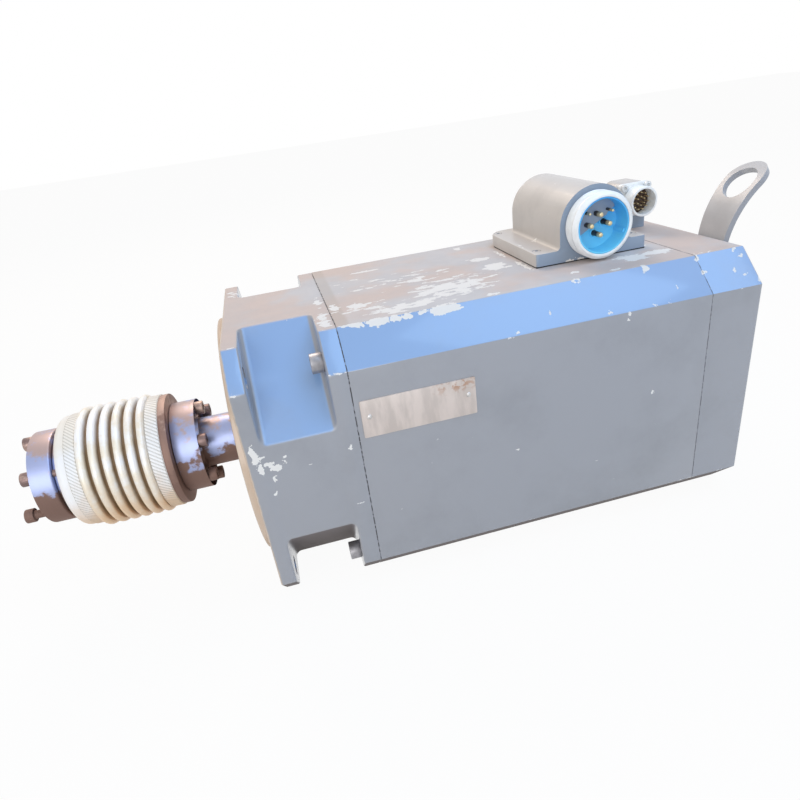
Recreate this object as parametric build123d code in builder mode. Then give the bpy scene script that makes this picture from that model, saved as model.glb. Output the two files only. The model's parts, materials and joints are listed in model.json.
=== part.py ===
from build123d import *
import os
from collections import namedtuple
from math import cos, radians, sin, sqrt

# Synchronous servo motor with a bellows coupling on its shaft. Millimetres.
# The origin is the centre of the flange's mounting face, on the shaft axis.
# +X points out along the shaft, +Z up, +Y out of the side that carries the nameplate.

# Driving dimensions of the housing
across_flats = 192.0  # flange and housing, flat to flat
corner_leg = 21.8  # leg of the 45 degree cut on each long edge
shield_length = 72.0  # front bearing shield
housing_length = 250.6  # stator housing
cover_length = 38.8  # rear cover
flange_thickness = 11.0
web_thickness = 12.2  # rear web of the front shield, behind the corner pockets
pocket_floor = 94.0  # shaft axis to the floor of a corner pocket
pocket_corner = 4.5
spigot_diameter = 180.0
spigot_height = 5.0
bolt_circle = 215.0
bolt_hole = 14.0
housing_bore = 172.0
casting_edge = 1.2  # rounding of the outer casting edges
front_wall = 14.0
rear_plate_thickness = 12.0
rear_end_wall = 3.0  # behind the rear bearing
cover_wall = 7.0
cover_back_wall = 6.0

# Driving dimensions of the shaft, its bearings and its seal
shaft_diameter = 38.0
shaft_reach = 80.0  # mounting face to shaft end
shaft_end_chamfer = 1.5
front_journal = 40.0
front_bearing_outside = 80.0
front_bearing_width = 18.0
front_ball = 11.0
rear_journal = 35.0
rear_bearing_outside = 72.0
rear_bearing_width = 17.0
rear_ball = 10.0
balls_per_bearing = 9
shaft_shoulder = 48.0
rear_shoulder = 42.0
core_seat = 54.0
encoder_stub = 14.0
seal_outside = 62.0
seal_width = 8.0
ring_thickness = 1.75  # retaining ring
groove_depth = 1.25
ring_reach = 3.0  # out of the journal
ring_opening = 8.0

# Driving dimensions of the electric parts
front_space = 25.0  # front end of the stator housing to the stack
rear_space = 45.6  # stack to the rear end of the stator housing
stator_bore = 112.4
air_gap = 1.2
magnet_thickness = 5.0
glue_gap = 0.15  # under the magnets
pole_count = 6
pole_gap = 8.0  # between neighbouring magnets
slot_count = 36
slot_width = 5.0
slot_depth = 17.0
slot_mouth = 2.2
tooth_tip = 2.0
end_turn_length = 20.0
end_turn_bevel = 5.0
balance_thickness = 6.0
balance_inset = 1.0  # below the magnets
encoder_diameter = 58.0
encoder_length = 28.0
encoder_wall = 2.5
encoder_foot = 3.0

# Driving dimensions of the coupling
hub_start = 37.0  # mounting face to the first clamp ring
motor_clamp_width = 17.8
driven_clamp_width = 15.0
clamp_ring_edge = 5.1  # clamp screw's centre to the outside of its ring
clamp_gap = 0.5  # open joint between clamp ring and hub
clamp_screw_count = 6
cone_wall = 3.5  # hub cone's thin end
cone_rise = 3.0
hub_sleeve_wall = 10.0
hub_disc_diameter = 84.4
hub_disc_width = 5.2
driven_disc_diameter = 62.0
driven_disc_width = 4.0
register_width = 4.0
end_ring_diameter = 86.0
end_ring_width = 8.9
bellows_length = 47.1
bellows_crest = 90.2  # diameter over the crests
bellows_root = 77.0  # diameter in the valleys
bellows_bore = 74.0
crest_count = 6
crest_pitch = 8.27
crest_radius = 2.7
outer_ring_width = 15.5
outer_ring_bevel = 5.0
driven_register = 66.0  # diameter of the driven hub inside its end ring
outer_end_bevel = 2.0
driven_bore = 38.0
loose_screw_travel = 8.0  # one clamp screw stands backed out

# Driving dimensions of the power connector
gasket_thickness = 1.0
flange_rise = 9.0  # thickness of the hood's flange
flange_width = 86.8  # along the shaft axis
flange_depth = 94.5  # across the motor
flange_front_corner = 2.5
flange_back_corner = 14.0
hood_radius = 26.7
hood_rise = 14.8  # flange to the centre of the arch
hood_wall = 5.0
hood_depth = 91.0
hood_front_wall = 6.0
hood_back_edge = 9.0
hood_front_bevel = 1.5
hood_foot = 3.0  # hollow rounding where the hood meets its flange
shell_diameter = 46.0
shell_wall = 3.65
shell_bevel = 2.2  # outside of the shell's mouth
shell_reach = 12.8  # out of the hood
shell_seat = 3.0
thread_relief = 0.5  # depth of the plain neck behind a shell's thread
power_neck = 1.0  # its length in front of the hood
insert_wall = 1.2
socket_depth = 15.0
insert_back = 10.9
insert_inset = 0.4  # behind the shell's mouth
tail_length = 4.0  # of a pin behind its insert
power_pin = 3.6
power_pin_circle = 14.0
control_pin = 2.0
control_pin_circle = 24.4
pin_length = 11.5  # above the socket floor

# Driving dimensions of the signal connector
signal_block = 25.0
signal_block_height = 37.0
signal_bore_depth = 17.5
signal_socket_depth = 10.2
signal_insert_seat = 4.0  # length of the insert inside the block
signal_shell_diameter = 23.0
signal_shell_wall = 1.7
signal_shell_reach = 14.2  # out of its flange
signal_neck_margin = 0.5  # the neck runs this far past the screw heads
signal_flange = 26.0
signal_flange_thickness = 3.0
signal_pin = 1.0
outer_pin_circle = 13.2
inner_pin_circle = 6.6
signal_pin_length = 6.0

# Driving dimensions of the strap and the nameplate
strap_width = 26.0
strap_thickness = 4.5
strap_bend = 65.0  # middle radius of the bend
strap_sweep = 62.0  # degrees of bend
eye_diameter = 24.4
eye_rim = 16.6
eye_angle = 45.2  # degrees round the bend to the centre of the eye
strap_pad = 10.0
nameplate_length = 76.2
nameplate_height = 26.4
nameplate_thickness = 0.8

# Fits
seat_gap = 0.05  # radial gap of a ring or plug seated in its bore
thread_gap = 0.1  # round a screw in its tapped hole
slip_gap = 0.1  # round a pin in its insert
running_gap = 0.3  # round a loose-fitting piece
screw_gap = 0.25  # round a screw that passes through

# Socket head cap screws
Screw = namedtuple("Screw", "shank head height socket")
m8 = Screw(8.0, 13.0, 8.0, 6.0)
m6 = Screw(6.0, 10.0, 6.0, 5.0)
m5 = Screw(5.0, 8.5, 5.0, 4.0)
m4 = Screw(4.0, 7.0, 4.0, 3.0)
m3 = Screw(3.0, 5.5, 3.0, 2.5)
socket_share = 0.55  # of the head's height

# Places worked out from the driving dimensions
half_width = across_flats / 2
seam_front = -shield_length
seam_rear = seam_front - housing_length
rear_face = seam_rear - cover_length
corner_face = (across_flats - corner_leg) / sqrt(2)
bolt_radius = bolt_circle / 2
housing_bore_radius = housing_bore / 2

os.makedirs("parts", exist_ok=True)


def save(piece, name):
    """Label a finished piece and write it to its own file."""
    piece.part.label = name
    export_step(piece.part, f"parts/{name}.step")


def across_shaft(x):
    """The plane square to the shaft at x: its own x is Y, its own y is Z."""
    return Plane.YZ.offset(x)


def facing_side(y):
    """The plane square to Y that looks towards -Y: its own x is X, its own y is Z."""
    return Plane.XZ.offset(-y)


def square_section(across, leg):
    """A square with its four corners cut at 45 degrees."""
    with BuildSketch() as outline:
        Rectangle(across, across)
        chamfer(outline.vertices(), length=leg)
    return outline.sketch


def ring_of(radius, count, first=0.0):
    """Places on a circle, the first at an angle from the plane's own x direction."""
    angles = [radians(first + 360.0 * i / count) for i in range(count)]
    return [(radius * cos(a), radius * sin(a)) for a in angles]


def socket_screws(plane, places, size, length, way=1):
    """Cap screws on the plane: heads on its front for way 1 or its back for way -1."""
    with BuildPart() as screws:
        with BuildSketch(plane):
            with Locations(*places):
                Circle(size.head / 2)
        extrude(amount=way * size.height)
        with BuildSketch(plane.offset(way * size.height)):
            with Locations(*places):
                RegularPolygon(size.socket / 2, 6, major_radius=False)
        extrude(amount=-way * size.height * socket_share, mode=Mode.SUBTRACT)
        with BuildSketch(plane):
            with Locations(*places):
                Circle(size.shank / 2)
        extrude(amount=-way * length)
    return screws


def cut_holes(plane, places, radius, depth):
    """Round holes from the plane, depth along its front side."""
    with BuildSketch(plane) as holes:
        with Locations(*places):
            Circle(radius)
    extrude(holes.sketch, amount=depth, mode=Mode.SUBTRACT)


def turned(points, mode=Mode.ADD):
    """A solid of revolution about the shaft axis from (x, radius) points."""
    with BuildSketch(Plane.XZ) as profile:
        with BuildLine():
            Polyline(*points, close=True)
        make_face()
    revolve(profile.sketch, axis=Axis.X, mode=mode)


body_section = square_section(across_flats, corner_leg)
corner_planes = [
    Plane(origin=(0, 0, 0), x_dir=(1, 0, 0), z_dir=(0, -sin(radians(a)), cos(radians(a))))
    for a in (45, 135, 225, 315)
]

# Stations along the front end, from the seal inwards
seal_inset = 2.0
seal_front = spigot_height - seal_inset
seal_back = seal_front - seal_width
bearing_shoulder = 4.0
shoulder_bore_radius = front_bearing_outside / 2 - 10.0
bearing_front = seal_back - bearing_shoulder
bearing_back = bearing_front - front_bearing_width
boss_radius = front_bearing_outside / 2 + 16.0
cavity_radius = housing_bore_radius - 6.0
register_depth = 4.0
retainer_thickness = 5.0
retainer_radius = boss_radius - 2.0
retainer_bore = front_bearing_outside / 2 - 8.0
retainer_screw_places = ring_of(front_bearing_outside / 2 + 6.5, 4)
retainer_screw_grip = 7.0
pocket_length = shield_length - flange_thickness - web_thickness
pocket_middle = -(flange_thickness + pocket_length / 2)
shield_screw_places = ring_of(bolt_radius, 4, 45)
shield_screw_grip = 18.0
blind_allowance = 1.0  # a tapped hole runs this far past its screw

# Front bearing shield: flange, four corner pockets, spigot and bearing seat in one casting
with BuildPart() as front_shield:
    with BuildSketch(Plane.YZ):
        add(body_section)
    extrude(amount=seam_front)
    front_edges = front_shield.edges().filter_by(GeomType.LINE).group_by(Axis.X)[-1]
    fillet(front_edges, radius=casting_edge)
    with BuildSketch(*corner_planes) as pockets:
        with Locations((pocket_middle, pocket_floor + half_width / 2)):
            Rectangle(pocket_length, half_width)
        fillet(pockets.vertices().group_by(Axis.Y)[0], radius=pocket_corner)
    extrude(amount=half_width, both=True, mode=Mode.SUBTRACT)
    with BuildSketch(Plane.YZ):
        Circle(spigot_diameter / 2)
    extrude(amount=spigot_height)
    spigot_rim = front_shield.edges().filter_by(GeomType.CIRCLE).group_by(Axis.X)[-1]
    chamfer(spigot_rim, length=casting_edge)
    with BuildSketch(across_shaft(seam_front)):
        Circle(housing_bore_radius - seat_gap)
    extrude(amount=-register_depth)
    turned(
        (
            (spigot_height, 0),
            (spigot_height, seal_outside / 2 + seat_gap),
            (seal_back, seal_outside / 2 + seat_gap),
            (seal_back, shoulder_bore_radius),
            (bearing_front, shoulder_bore_radius),
            (bearing_front, front_bearing_outside / 2 + seat_gap),
            (bearing_back, front_bearing_outside / 2 + seat_gap),
            (bearing_back, boss_radius),
            (-front_wall, boss_radius),
            (-front_wall, cavity_radius),
            (seam_front - register_depth, cavity_radius),
            (seam_front - register_depth, 0),
        ),
        mode=Mode.SUBTRACT,
    )
    cut_holes(Plane.YZ, shield_screw_places, bolt_hole / 2, -flange_thickness)
    cut_holes(
        across_shaft(seam_front), shield_screw_places, m8.shank / 2 + screw_gap, web_thickness
    )
    cut_holes(
        across_shaft(bearing_back),
        retainer_screw_places,
        m5.shank / 2 + thread_gap,
        retainer_screw_grip + blind_allowance,
    )
save(front_shield, "front_shield")

# Plate that holds the front bearing's outer race, with its four screws
with BuildPart() as bearing_retainer:
    with BuildSketch(across_shaft(bearing_back)):
        Circle(retainer_radius)
        Circle(retainer_bore, mode=Mode.SUBTRACT)
        with Locations(*retainer_screw_places):
            Circle(m5.shank / 2 + screw_gap, mode=Mode.SUBTRACT)
    extrude(amount=-retainer_thickness)
save(bearing_retainer, "bearing_retainer")

retainer_screws = socket_screws(
    across_shaft(bearing_back - retainer_thickness),
    retainer_screw_places,
    m5,
    retainer_thickness + retainer_screw_grip,
    way=-1,
)
save(retainer_screws, "retainer_screws")

# Shield screws, one in each corner pocket, into the stator housing
shield_screws = socket_screws(
    across_shaft(seam_front + web_thickness),
    shield_screw_places,
    m8,
    web_thickness + shield_screw_grip,
)
save(shield_screws, "shield_screws")

# Stations of the rear end
preload_gap = 2.6  # room for the spring behind the rear bearing
rear_bearing_back = seam_rear + rear_end_wall + preload_gap
rear_bearing_front = rear_bearing_back + rear_bearing_width
rear_boss_front = rear_bearing_front + 2.0
rear_boss_radius = rear_bearing_outside / 2 + 8.0
rear_wall_bore = rear_bearing_outside / 2 - 12.0
ear_reach = housing_bore_radius + 17.0
ear_width = 24.0
ear_thickness = 8.0
ear_screw_places = ring_of(housing_bore_radius + 8.5, 4, 45)
rear_screw_grip = 14.0
cover_screw_radius = corner_face - 9.35
cover_screw_places = ring_of(cover_screw_radius, 4, 45)
counterbore_depth = m6.height + 1.0
encoder_radius = encoder_diameter / 2
encoder_screw_radius = rear_bearing_outside / 2 + 4.5
encoder_screw_places = ring_of(encoder_screw_radius, 3, 90)
encoder_screw_grip = 7.0

# Places of the two connectors
cable_opening = 30.0
power_x = seam_rear + 53.9
flange_x = power_x + 1.8
hood_front = 36.0
flange_y = hood_front - flange_depth / 2
flange_top = half_width + gasket_thickness + flange_rise
power_z = flange_top + hood_rise
flange_screw_inset = 5.4
flange_screw_y = 73.5  # between the two screws of one side
flange_screw_places = [
    (flange_x + way_x * (flange_width / 2 - flange_screw_inset), flange_y + way_y * flange_screw_y / 2)
    for way_x in (-1, 1)
    for way_y in (-1, 1)
]
flange_screw_grip = 8.0
head_clearance = 0.4
signal_x = seam_rear - 13.4
signal_y = -33.0
signal_rise = 23.8  # housing top to the axis of the signal connector
signal_neck = 8.0

# Stator housing: square tube, bored for the stack, recessed for the rear shield's ears
with BuildPart() as stator_housing:
    with BuildSketch(across_shaft(seam_front)):
        add(body_section)
        Circle(housing_bore_radius, mode=Mode.SUBTRACT)
    extrude(amount=-housing_length)
    cut_holes(
        across_shaft(seam_front),
        shield_screw_places,
        m8.shank / 2 + thread_gap,
        -shield_screw_grip - blind_allowance,
    )
    with BuildSketch(across_shaft(seam_rear)):
        with PolarLocations(ear_reach / 2, 4, start_angle=45):
            Rectangle(ear_reach + 2 * running_gap, ear_width + 2 * running_gap)
    extrude(amount=ear_thickness, mode=Mode.SUBTRACT)
    cut_holes(
        across_shaft(seam_rear + ear_thickness),
        ear_screw_places,
        m6.shank / 2 + thread_gap,
        rear_screw_grip,
    )
    cut_holes(
        across_shaft(seam_rear),
        cover_screw_places,
        m6.shank / 2 + thread_gap,
        rear_screw_grip + blind_allowance,
    )
    cut_holes(
        Plane.XY.offset(half_width),
        flange_screw_places,
        m3.shank / 2 + thread_gap,
        -flange_screw_grip - blind_allowance,
    )
    with BuildSketch(Plane.XY.offset(half_width)):
        with Locations((power_x, 0)):
            Rectangle(cable_opening, cable_opening)
    extrude(amount=-half_width / 2, mode=Mode.SUBTRACT)
save(stator_housing, "stator_housing")

# Rear bearing shield: disc with a bearing boss and four ears that drop into the housing
with BuildPart() as rear_shield:
    with BuildSketch(across_shaft(seam_rear)):
        with PolarLocations(ear_reach / 2, 4, start_angle=45):
            Rectangle(ear_reach, ear_width)
    extrude(amount=ear_thickness)
    with BuildSketch(across_shaft(seam_rear)):
        Circle(housing_bore_radius - seat_gap)
    extrude(amount=rear_plate_thickness)
    with BuildSketch(across_shaft(seam_rear)):
        Circle(rear_boss_radius)
    extrude(amount=rear_boss_front - seam_rear)
    with BuildSketch(across_shaft(seam_rear + rear_end_wall)):
        Circle(rear_bearing_outside / 2 + seat_gap)
    extrude(amount=rear_boss_front - seam_rear, mode=Mode.SUBTRACT)
    with BuildSketch(across_shaft(seam_rear)):
        Circle(rear_wall_bore)
    extrude(amount=rear_end_wall, mode=Mode.SUBTRACT)
    cut_holes(
        across_shaft(seam_rear), ear_screw_places, m6.shank / 2 + screw_gap, ear_thickness
    )
    cut_holes(
        across_shaft(seam_rear),
        encoder_screw_places,
        m4.shank / 2 + thread_gap,
        encoder_screw_grip + blind_allowance,
    )
save(rear_shield, "rear_shield")

rear_shield_screws = socket_screws(
    across_shaft(seam_rear), ear_screw_places, m6, ear_thickness + rear_screw_grip - 1.0, way=-1
)
save(rear_shield_screws, "rear_shield_screws")

# Lifting strap's places on the rear face
strap_y = 39.2
strap_foot = half_width - 50.0
strap_bend_start = half_width - 11.5
strap_screw_places = [(strap_y, half_width - 40.0), (strap_y, half_width - 20.0)]
strap_middle = (strap_foot + strap_bend_start) / 2
strap_length = strap_bend_start - strap_foot

# Rear cover: shallow box over the encoder, thick at its corners for the long screws
cover_inside = across_flats - 2 * cover_wall
cover_corner_inside = cover_screw_radius - 9.0
cover_section = square_section(cover_inside, cover_inside - cover_corner_inside * sqrt(2))
with BuildPart() as rear_cover:
    with BuildSketch(across_shaft(seam_rear)):
        add(body_section)
    extrude(amount=-cover_length)
    fillet(rear_cover.edges().group_by(Axis.X)[0], radius=2 * casting_edge)
    with BuildSketch(across_shaft(seam_rear)):
        add(cover_section)
    extrude(amount=cover_back_wall - cover_length, mode=Mode.SUBTRACT)
    with BuildSketch(across_shaft(rear_face + cover_back_wall)):
        with Locations((strap_y, strap_middle)):
            Rectangle(strap_width, strap_length)
    extrude(amount=strap_pad)
    cut_holes(
        across_shaft(rear_face),
        strap_screw_places,
        m8.shank / 2 + thread_gap,
        cover_back_wall + strap_pad,
    )
    cut_holes(
        across_shaft(rear_face),
        cover_screw_places,
        m6.head / 2 + 2 * screw_gap,
        counterbore_depth,
    )
    cut_holes(
        across_shaft(rear_face), cover_screw_places, m6.shank / 2 + screw_gap, cover_length
    )
    cut_holes(
        Plane.XY.offset(half_width), [(signal_x, signal_y)], signal_neck, -cover_wall
    )
save(rear_cover, "rear_cover")

cover_screws = socket_screws(
    across_shaft(rear_face + counterbore_depth),
    cover_screw_places,
    m6,
    cover_length - counterbore_depth + rear_screw_grip,
    way=-1,
)
save(cover_screws, "cover_screws")

# Lifting strap: flat bar on the rear face, bent backwards, with a round eye at its end
bend_x = rear_face - strap_thickness / 2 - strap_bend
eye_direction = (cos(radians(eye_angle)), 0, sin(radians(eye_angle)))
eye_centre = (
    bend_x + strap_bend * eye_direction[0],
    strap_y,
    strap_bend_start + strap_bend * eye_direction[2],
)
eye_plane = Plane(origin=eye_centre, x_dir=(0, 1, 0), z_dir=eye_direction)
eye_shift = strap_bend * sin(radians(strap_sweep - eye_angle)) - eye_rim
with BuildPart() as lifting_strap:
    with BuildSketch(facing_side(strap_y)):
        with BuildLine():
            bend_centre = (bend_x, strap_bend_start)
            outside = CenterArc(bend_centre, strap_bend + strap_thickness / 2, 0, strap_sweep)
            inside = CenterArc(bend_centre, strap_bend - strap_thickness / 2, 0, strap_sweep)
            Line(outside @ 0, inside @ 0)
            Line(outside @ 1, inside @ 1)
        make_face()
    extrude(amount=strap_width, both=True)
    with BuildSketch(eye_plane):
        with Locations((0, -strap_bend)):
            Rectangle(strap_width, 2 * strap_bend)
        with Locations((0, eye_shift)):
            Circle(eye_rim)
        Circle(eye_diameter / 2, mode=Mode.SUBTRACT)
    extrude(amount=strap_bend / 2, both=True, mode=Mode.INTERSECT)
    with BuildSketch(across_shaft(rear_face)):
        with Locations((strap_y, strap_middle)):
            Rectangle(strap_width, strap_length)
        with Locations(*strap_screw_places):
            Circle(m8.shank / 2 + screw_gap, mode=Mode.SUBTRACT)
    extrude(amount=-strap_thickness)
save(lifting_strap, "lifting_strap")

strap_screws = socket_screws(
    across_shaft(rear_face - strap_thickness),
    strap_screw_places,
    m8,
    strap_thickness + cover_back_wall + strap_pad - blind_allowance,
    way=-1,
)
save(strap_screws, "strap_screws")

# Nameplate on the side of the stator housing, held by two round-headed rivets
nameplate_x = seam_front - 41.7
nameplate_z = 39.9
rivet_head = 3.4
rivet_height = 0.8
rivet_shank = 2.0
rivet_places = [(-33.0, 1.4), (33.0, 1.4)]
side_plane = Plane(origin=(nameplate_x, half_width, nameplate_z), x_dir=(-1, 0, 0), z_dir=(0, 1, 0))
with BuildPart() as nameplate:
    with BuildSketch(side_plane):
        Rectangle(nameplate_length, nameplate_height)
        with Locations(*rivet_places):
            Circle(rivet_shank / 2 + slip_gap, mode=Mode.SUBTRACT)
    extrude(amount=nameplate_thickness)
save(nameplate, "nameplate")

with BuildPart() as nameplate_rivets:
    with BuildSketch(side_plane.offset(nameplate_thickness)):
        with Locations(*rivet_places):
            Circle(rivet_head / 2)
    extrude(amount=rivet_height)
    chamfer(nameplate_rivets.edges().group_by(Axis.Y)[-1], length=rivet_height / 2)
    with BuildSketch(side_plane):
        with Locations(*rivet_places):
            Circle(rivet_shank / 2)
    extrude(amount=nameplate_thickness)
save(nameplate_rivets, "nameplate_rivets")

# Stations of the rotor and stator
stack_length = housing_length - front_space - rear_space
stack_front = seam_front - front_space
stack_back = stack_front - stack_length
rotor_front = stack_front - 3.0
rotor_back = stack_back + 3.0
rotor_length = rotor_front - rotor_back
magnet_radius = stator_bore / 2 - air_gap
core_radius = magnet_radius - magnet_thickness
seat_radius = core_seat / 2
journal_radius = front_journal / 2
stub_end = seam_rear - 20.4

# Shaft: turned steps from the coupling end to the encoder stub
with BuildPart() as shaft:
    turned(
        (
            (shaft_reach, 0),
            (shaft_reach, shaft_diameter / 2 - shaft_end_chamfer),
            (shaft_reach - shaft_end_chamfer, shaft_diameter / 2),
            (spigot_height, shaft_diameter / 2),
            (spigot_height, journal_radius),
            (bearing_front + ring_thickness + slip_gap, journal_radius),
            (bearing_front + ring_thickness + slip_gap, journal_radius - groove_depth),
            (bearing_front, journal_radius - groove_depth),
            (bearing_front, journal_radius),
            (bearing_back, journal_radius),
            (bearing_back, shaft_shoulder / 2),
            (rotor_front + balance_thickness, shaft_shoulder / 2),
            (rotor_front + balance_thickness, seat_radius),
            (rotor_back - balance_thickness, seat_radius),
            (rotor_back - balance_thickness, rear_shoulder / 2),
            (rear_bearing_front, rear_shoulder / 2),
            (rear_bearing_front, rear_journal / 2),
            (rear_bearing_back, rear_journal / 2),
            (rear_bearing_back, encoder_stub / 2),
            (stub_end, encoder_stub / 2),
            (stub_end, 0),
        )
    )
save(shaft, "shaft")

# Rotor: laminated core on the shaft, one magnet for each pole, a balancing ring at each end
with BuildPart() as rotor_core:
    with BuildSketch(across_shaft(rotor_back)):
        Circle(core_radius)
        Circle(seat_radius + seat_gap, mode=Mode.SUBTRACT)
        with PolarLocations((core_radius + seat_radius) / 2, pole_count):
            Circle((core_radius - seat_radius) / 4, mode=Mode.SUBTRACT)
    extrude(amount=rotor_length)
save(rotor_core, "rotor_core")

with BuildPart() as rotor_magnets:
    with BuildSketch(across_shaft(rotor_back)):
        Circle(magnet_radius)
        Circle(core_radius + glue_gap, mode=Mode.SUBTRACT)
        with PolarLocations(core_radius, pole_count):
            Rectangle(4 * magnet_thickness, pole_gap, mode=Mode.SUBTRACT)
    extrude(amount=rotor_length)
save(rotor_magnets, "rotor_magnets")

with BuildPart() as balancing_rings:
    for start in (rotor_front, rotor_back - balance_thickness):
        with BuildSketch(across_shaft(start)):
            Circle(magnet_radius - balance_inset)
            Circle(seat_radius + seat_gap, mode=Mode.SUBTRACT)
        extrude(amount=balance_thickness)
save(balancing_rings, "balancing_rings")

# Stator core: ring of laminations with half-closed slots
slot_start = stator_bore / 2 + tooth_tip
slot_middle = slot_start + slot_depth / 2
with BuildPart() as stator_core:
    with BuildSketch(across_shaft(stack_back)):
        Circle(housing_bore_radius - seat_gap)
        Circle(stator_bore / 2, mode=Mode.SUBTRACT)
        with PolarLocations(slot_middle, slot_count):
            Rectangle(slot_depth, slot_width, mode=Mode.SUBTRACT)
        with PolarLocations(slot_start, slot_count):
            Rectangle(3 * tooth_tip, slot_mouth, mode=Mode.SUBTRACT)
    extrude(amount=stack_length)
save(stator_core, "stator_core")

# Winding: one bar of conductors in each slot and a bundled end turn on each side
slot_liner = 0.3
end_turn_inside = slot_start + 1.0
end_turn_outside = cavity_radius - 1.5
with BuildPart() as stator_winding:
    with BuildSketch(across_shaft(stack_back)):
        with PolarLocations(slot_middle, slot_count):
            Rectangle(slot_depth - 2 * slot_liner, slot_width - 2 * slot_liner)
    extrude(amount=stack_length)
    for end, way in ((stack_front, 1), (stack_back, -1)):
        turned(
            (
                (end, end_turn_inside),
                (end + way * (end_turn_length - end_turn_bevel), end_turn_inside),
                (end + way * end_turn_length, end_turn_inside + end_turn_bevel),
                (end + way * end_turn_length, end_turn_outside - end_turn_bevel),
                (end + way * (end_turn_length - end_turn_bevel), end_turn_outside),
                (end, end_turn_outside),
            )
        )
save(stator_winding, "stator_winding")


def ball_bearing(end, front, back, bore, outside, ball):
    """Outer race, inner race and balls of one deep-groove bearing."""
    pitch = (bore + outside) / 4
    middle = (front + back) / 2
    groove = ball / 2 + slip_gap
    land = 0.3 * ball
    sides = (
        ("outer_race", outside / 2, pitch + land),
        ("inner_race", bore / 2 + seat_gap, pitch - land),
    )
    for name, rim, shoulder in sides:
        with BuildPart() as race:
            with BuildSketch(Plane.XZ):
                with Locations((middle, (rim + shoulder) / 2)):
                    Rectangle(front - back, abs(rim - shoulder))
                with Locations((middle, pitch)):
                    Circle(groove, mode=Mode.SUBTRACT)
            revolve(axis=Axis.X)
        save(race, f"{end}_bearing_{name}")
    with BuildPart() as balls:
        with Locations(across_shaft(middle)):
            with PolarLocations(pitch, balls_per_bearing):
                Sphere(ball / 2)
    save(balls, f"{end}_bearing_balls")


ball_bearing(
    "front", bearing_front, bearing_back, front_journal, front_bearing_outside, front_ball
)
ball_bearing(
    "rear", rear_bearing_front, rear_bearing_back, rear_journal, rear_bearing_outside, rear_ball
)

# Radial shaft seal: rubber ring with its lip on the front journal
seal_lip = journal_radius + thread_gap
lip_height = 3.0
lip_bevel = 1.0
seal_skin = 2.5
with BuildPart() as shaft_seal:
    turned(
        (
            (seal_front, seal_outside / 2),
            (seal_front, seal_lip + lip_height),
            (seal_front - lip_bevel, seal_lip),
            (seal_front - lip_height, seal_lip),
            (seal_front - lip_height, seal_outside / 2 - seal_skin),
            (seal_back, seal_outside / 2 - seal_skin),
            (seal_back, seal_outside / 2),
        )
    )
save(shaft_seal, "shaft_seal")

# Retaining ring in its groove, in front of the front bearing's inner race
with BuildPart() as retaining_ring:
    with BuildSketch(across_shaft(bearing_front)):
        Circle(journal_radius + ring_reach)
        Circle(journal_radius - groove_depth + seat_gap, mode=Mode.SUBTRACT)
        with Locations((0, journal_radius)):
            Rectangle(ring_opening, ring_opening, mode=Mode.SUBTRACT)
    extrude(amount=ring_thickness)
save(retaining_ring, "retaining_ring")

# Coned spring that loads the rear bearing's outer race forwards
spring_clearance = 0.5
spring_skin = 2.5
spring_cone = 4.0  # how far its small end stands in from its large one
spring_outside = rear_bearing_outside / 2 - spring_clearance
with BuildPart() as preload_spring:
    turned(
        (
            (rear_bearing_back, spring_outside),
            (rear_bearing_back, spring_outside - spring_skin),
            (rear_bearing_back - preload_gap, spring_outside - spring_skin - spring_cone),
            (rear_bearing_back - preload_gap, spring_outside - spring_cone),
        )
    )
save(preload_spring, "preload_spring")

# Encoder: cup on the rear shield, its disc on the shaft's stub
encoder_lug = 5.0  # screw's centre to the rim of the foot
with BuildPart() as encoder_body:
    with BuildSketch(across_shaft(seam_rear)):
        Circle(encoder_screw_radius + encoder_lug)
    extrude(amount=-encoder_foot)
    with BuildSketch(across_shaft(seam_rear)):
        Circle(encoder_radius)
    extrude(amount=-encoder_length)
    with BuildSketch(across_shaft(seam_rear)):
        Circle(encoder_radius - encoder_wall)
    extrude(amount=encoder_wall - encoder_length, mode=Mode.SUBTRACT)
    cut_holes(
        across_shaft(seam_rear), encoder_screw_places, m4.shank / 2 + screw_gap, -encoder_foot
    )
save(encoder_body, "encoder_body")

encoder_screws = socket_screws(
    across_shaft(seam_rear - encoder_foot),
    encoder_screw_places,
    m4,
    encoder_foot + encoder_screw_grip,
    way=-1,
)
save(encoder_screws, "encoder_screws")

disc_front = seam_rear - 10.0
disc_thickness = 1.5
disc_clearance = 3.0
disc_hub_wall = 4.0
disc_hub_length = 9.0
with BuildPart() as encoder_disc:
    with BuildSketch(across_shaft(disc_front)):
        Circle(encoder_radius - encoder_wall - disc_clearance)
    extrude(amount=-disc_thickness)
    with BuildSketch(across_shaft(disc_front)):
        Circle(encoder_stub / 2 + disc_hub_wall)
    extrude(amount=-disc_hub_length)
    cut_holes(
        across_shaft(disc_front), [(0, 0)], encoder_stub / 2 + seat_gap, -disc_hub_length
    )
save(encoder_disc, "encoder_disc")

# Power connector: gasket under the hood's flange
gasket_inset = 0.5


def flange_outline(inset):
    """The hood's flange seen from above: small corners in front, large ones at the back."""
    with BuildSketch(Plane.XY) as outline:
        with Locations((flange_x, flange_y)):
            Rectangle(flange_width - 2 * inset, flange_depth - 2 * inset)
        corners = outline.vertices().group_by(Axis.Y)
        fillet(corners[0], radius=flange_back_corner)
        fillet(corners[-1], radius=flange_front_corner)
    return outline.sketch


with BuildPart() as connector_gasket:
    with BuildSketch(Plane.XY.offset(half_width)):
        add(flange_outline(gasket_inset))
        with Locations((power_x, 0)):
            Rectangle(cable_opening, cable_opening, mode=Mode.SUBTRACT)
        with Locations(*flange_screw_places):
            Circle(m3.shank / 2 + screw_gap, mode=Mode.SUBTRACT)
    extrude(amount=gasket_thickness)
save(connector_gasket, "connector_gasket")


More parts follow.
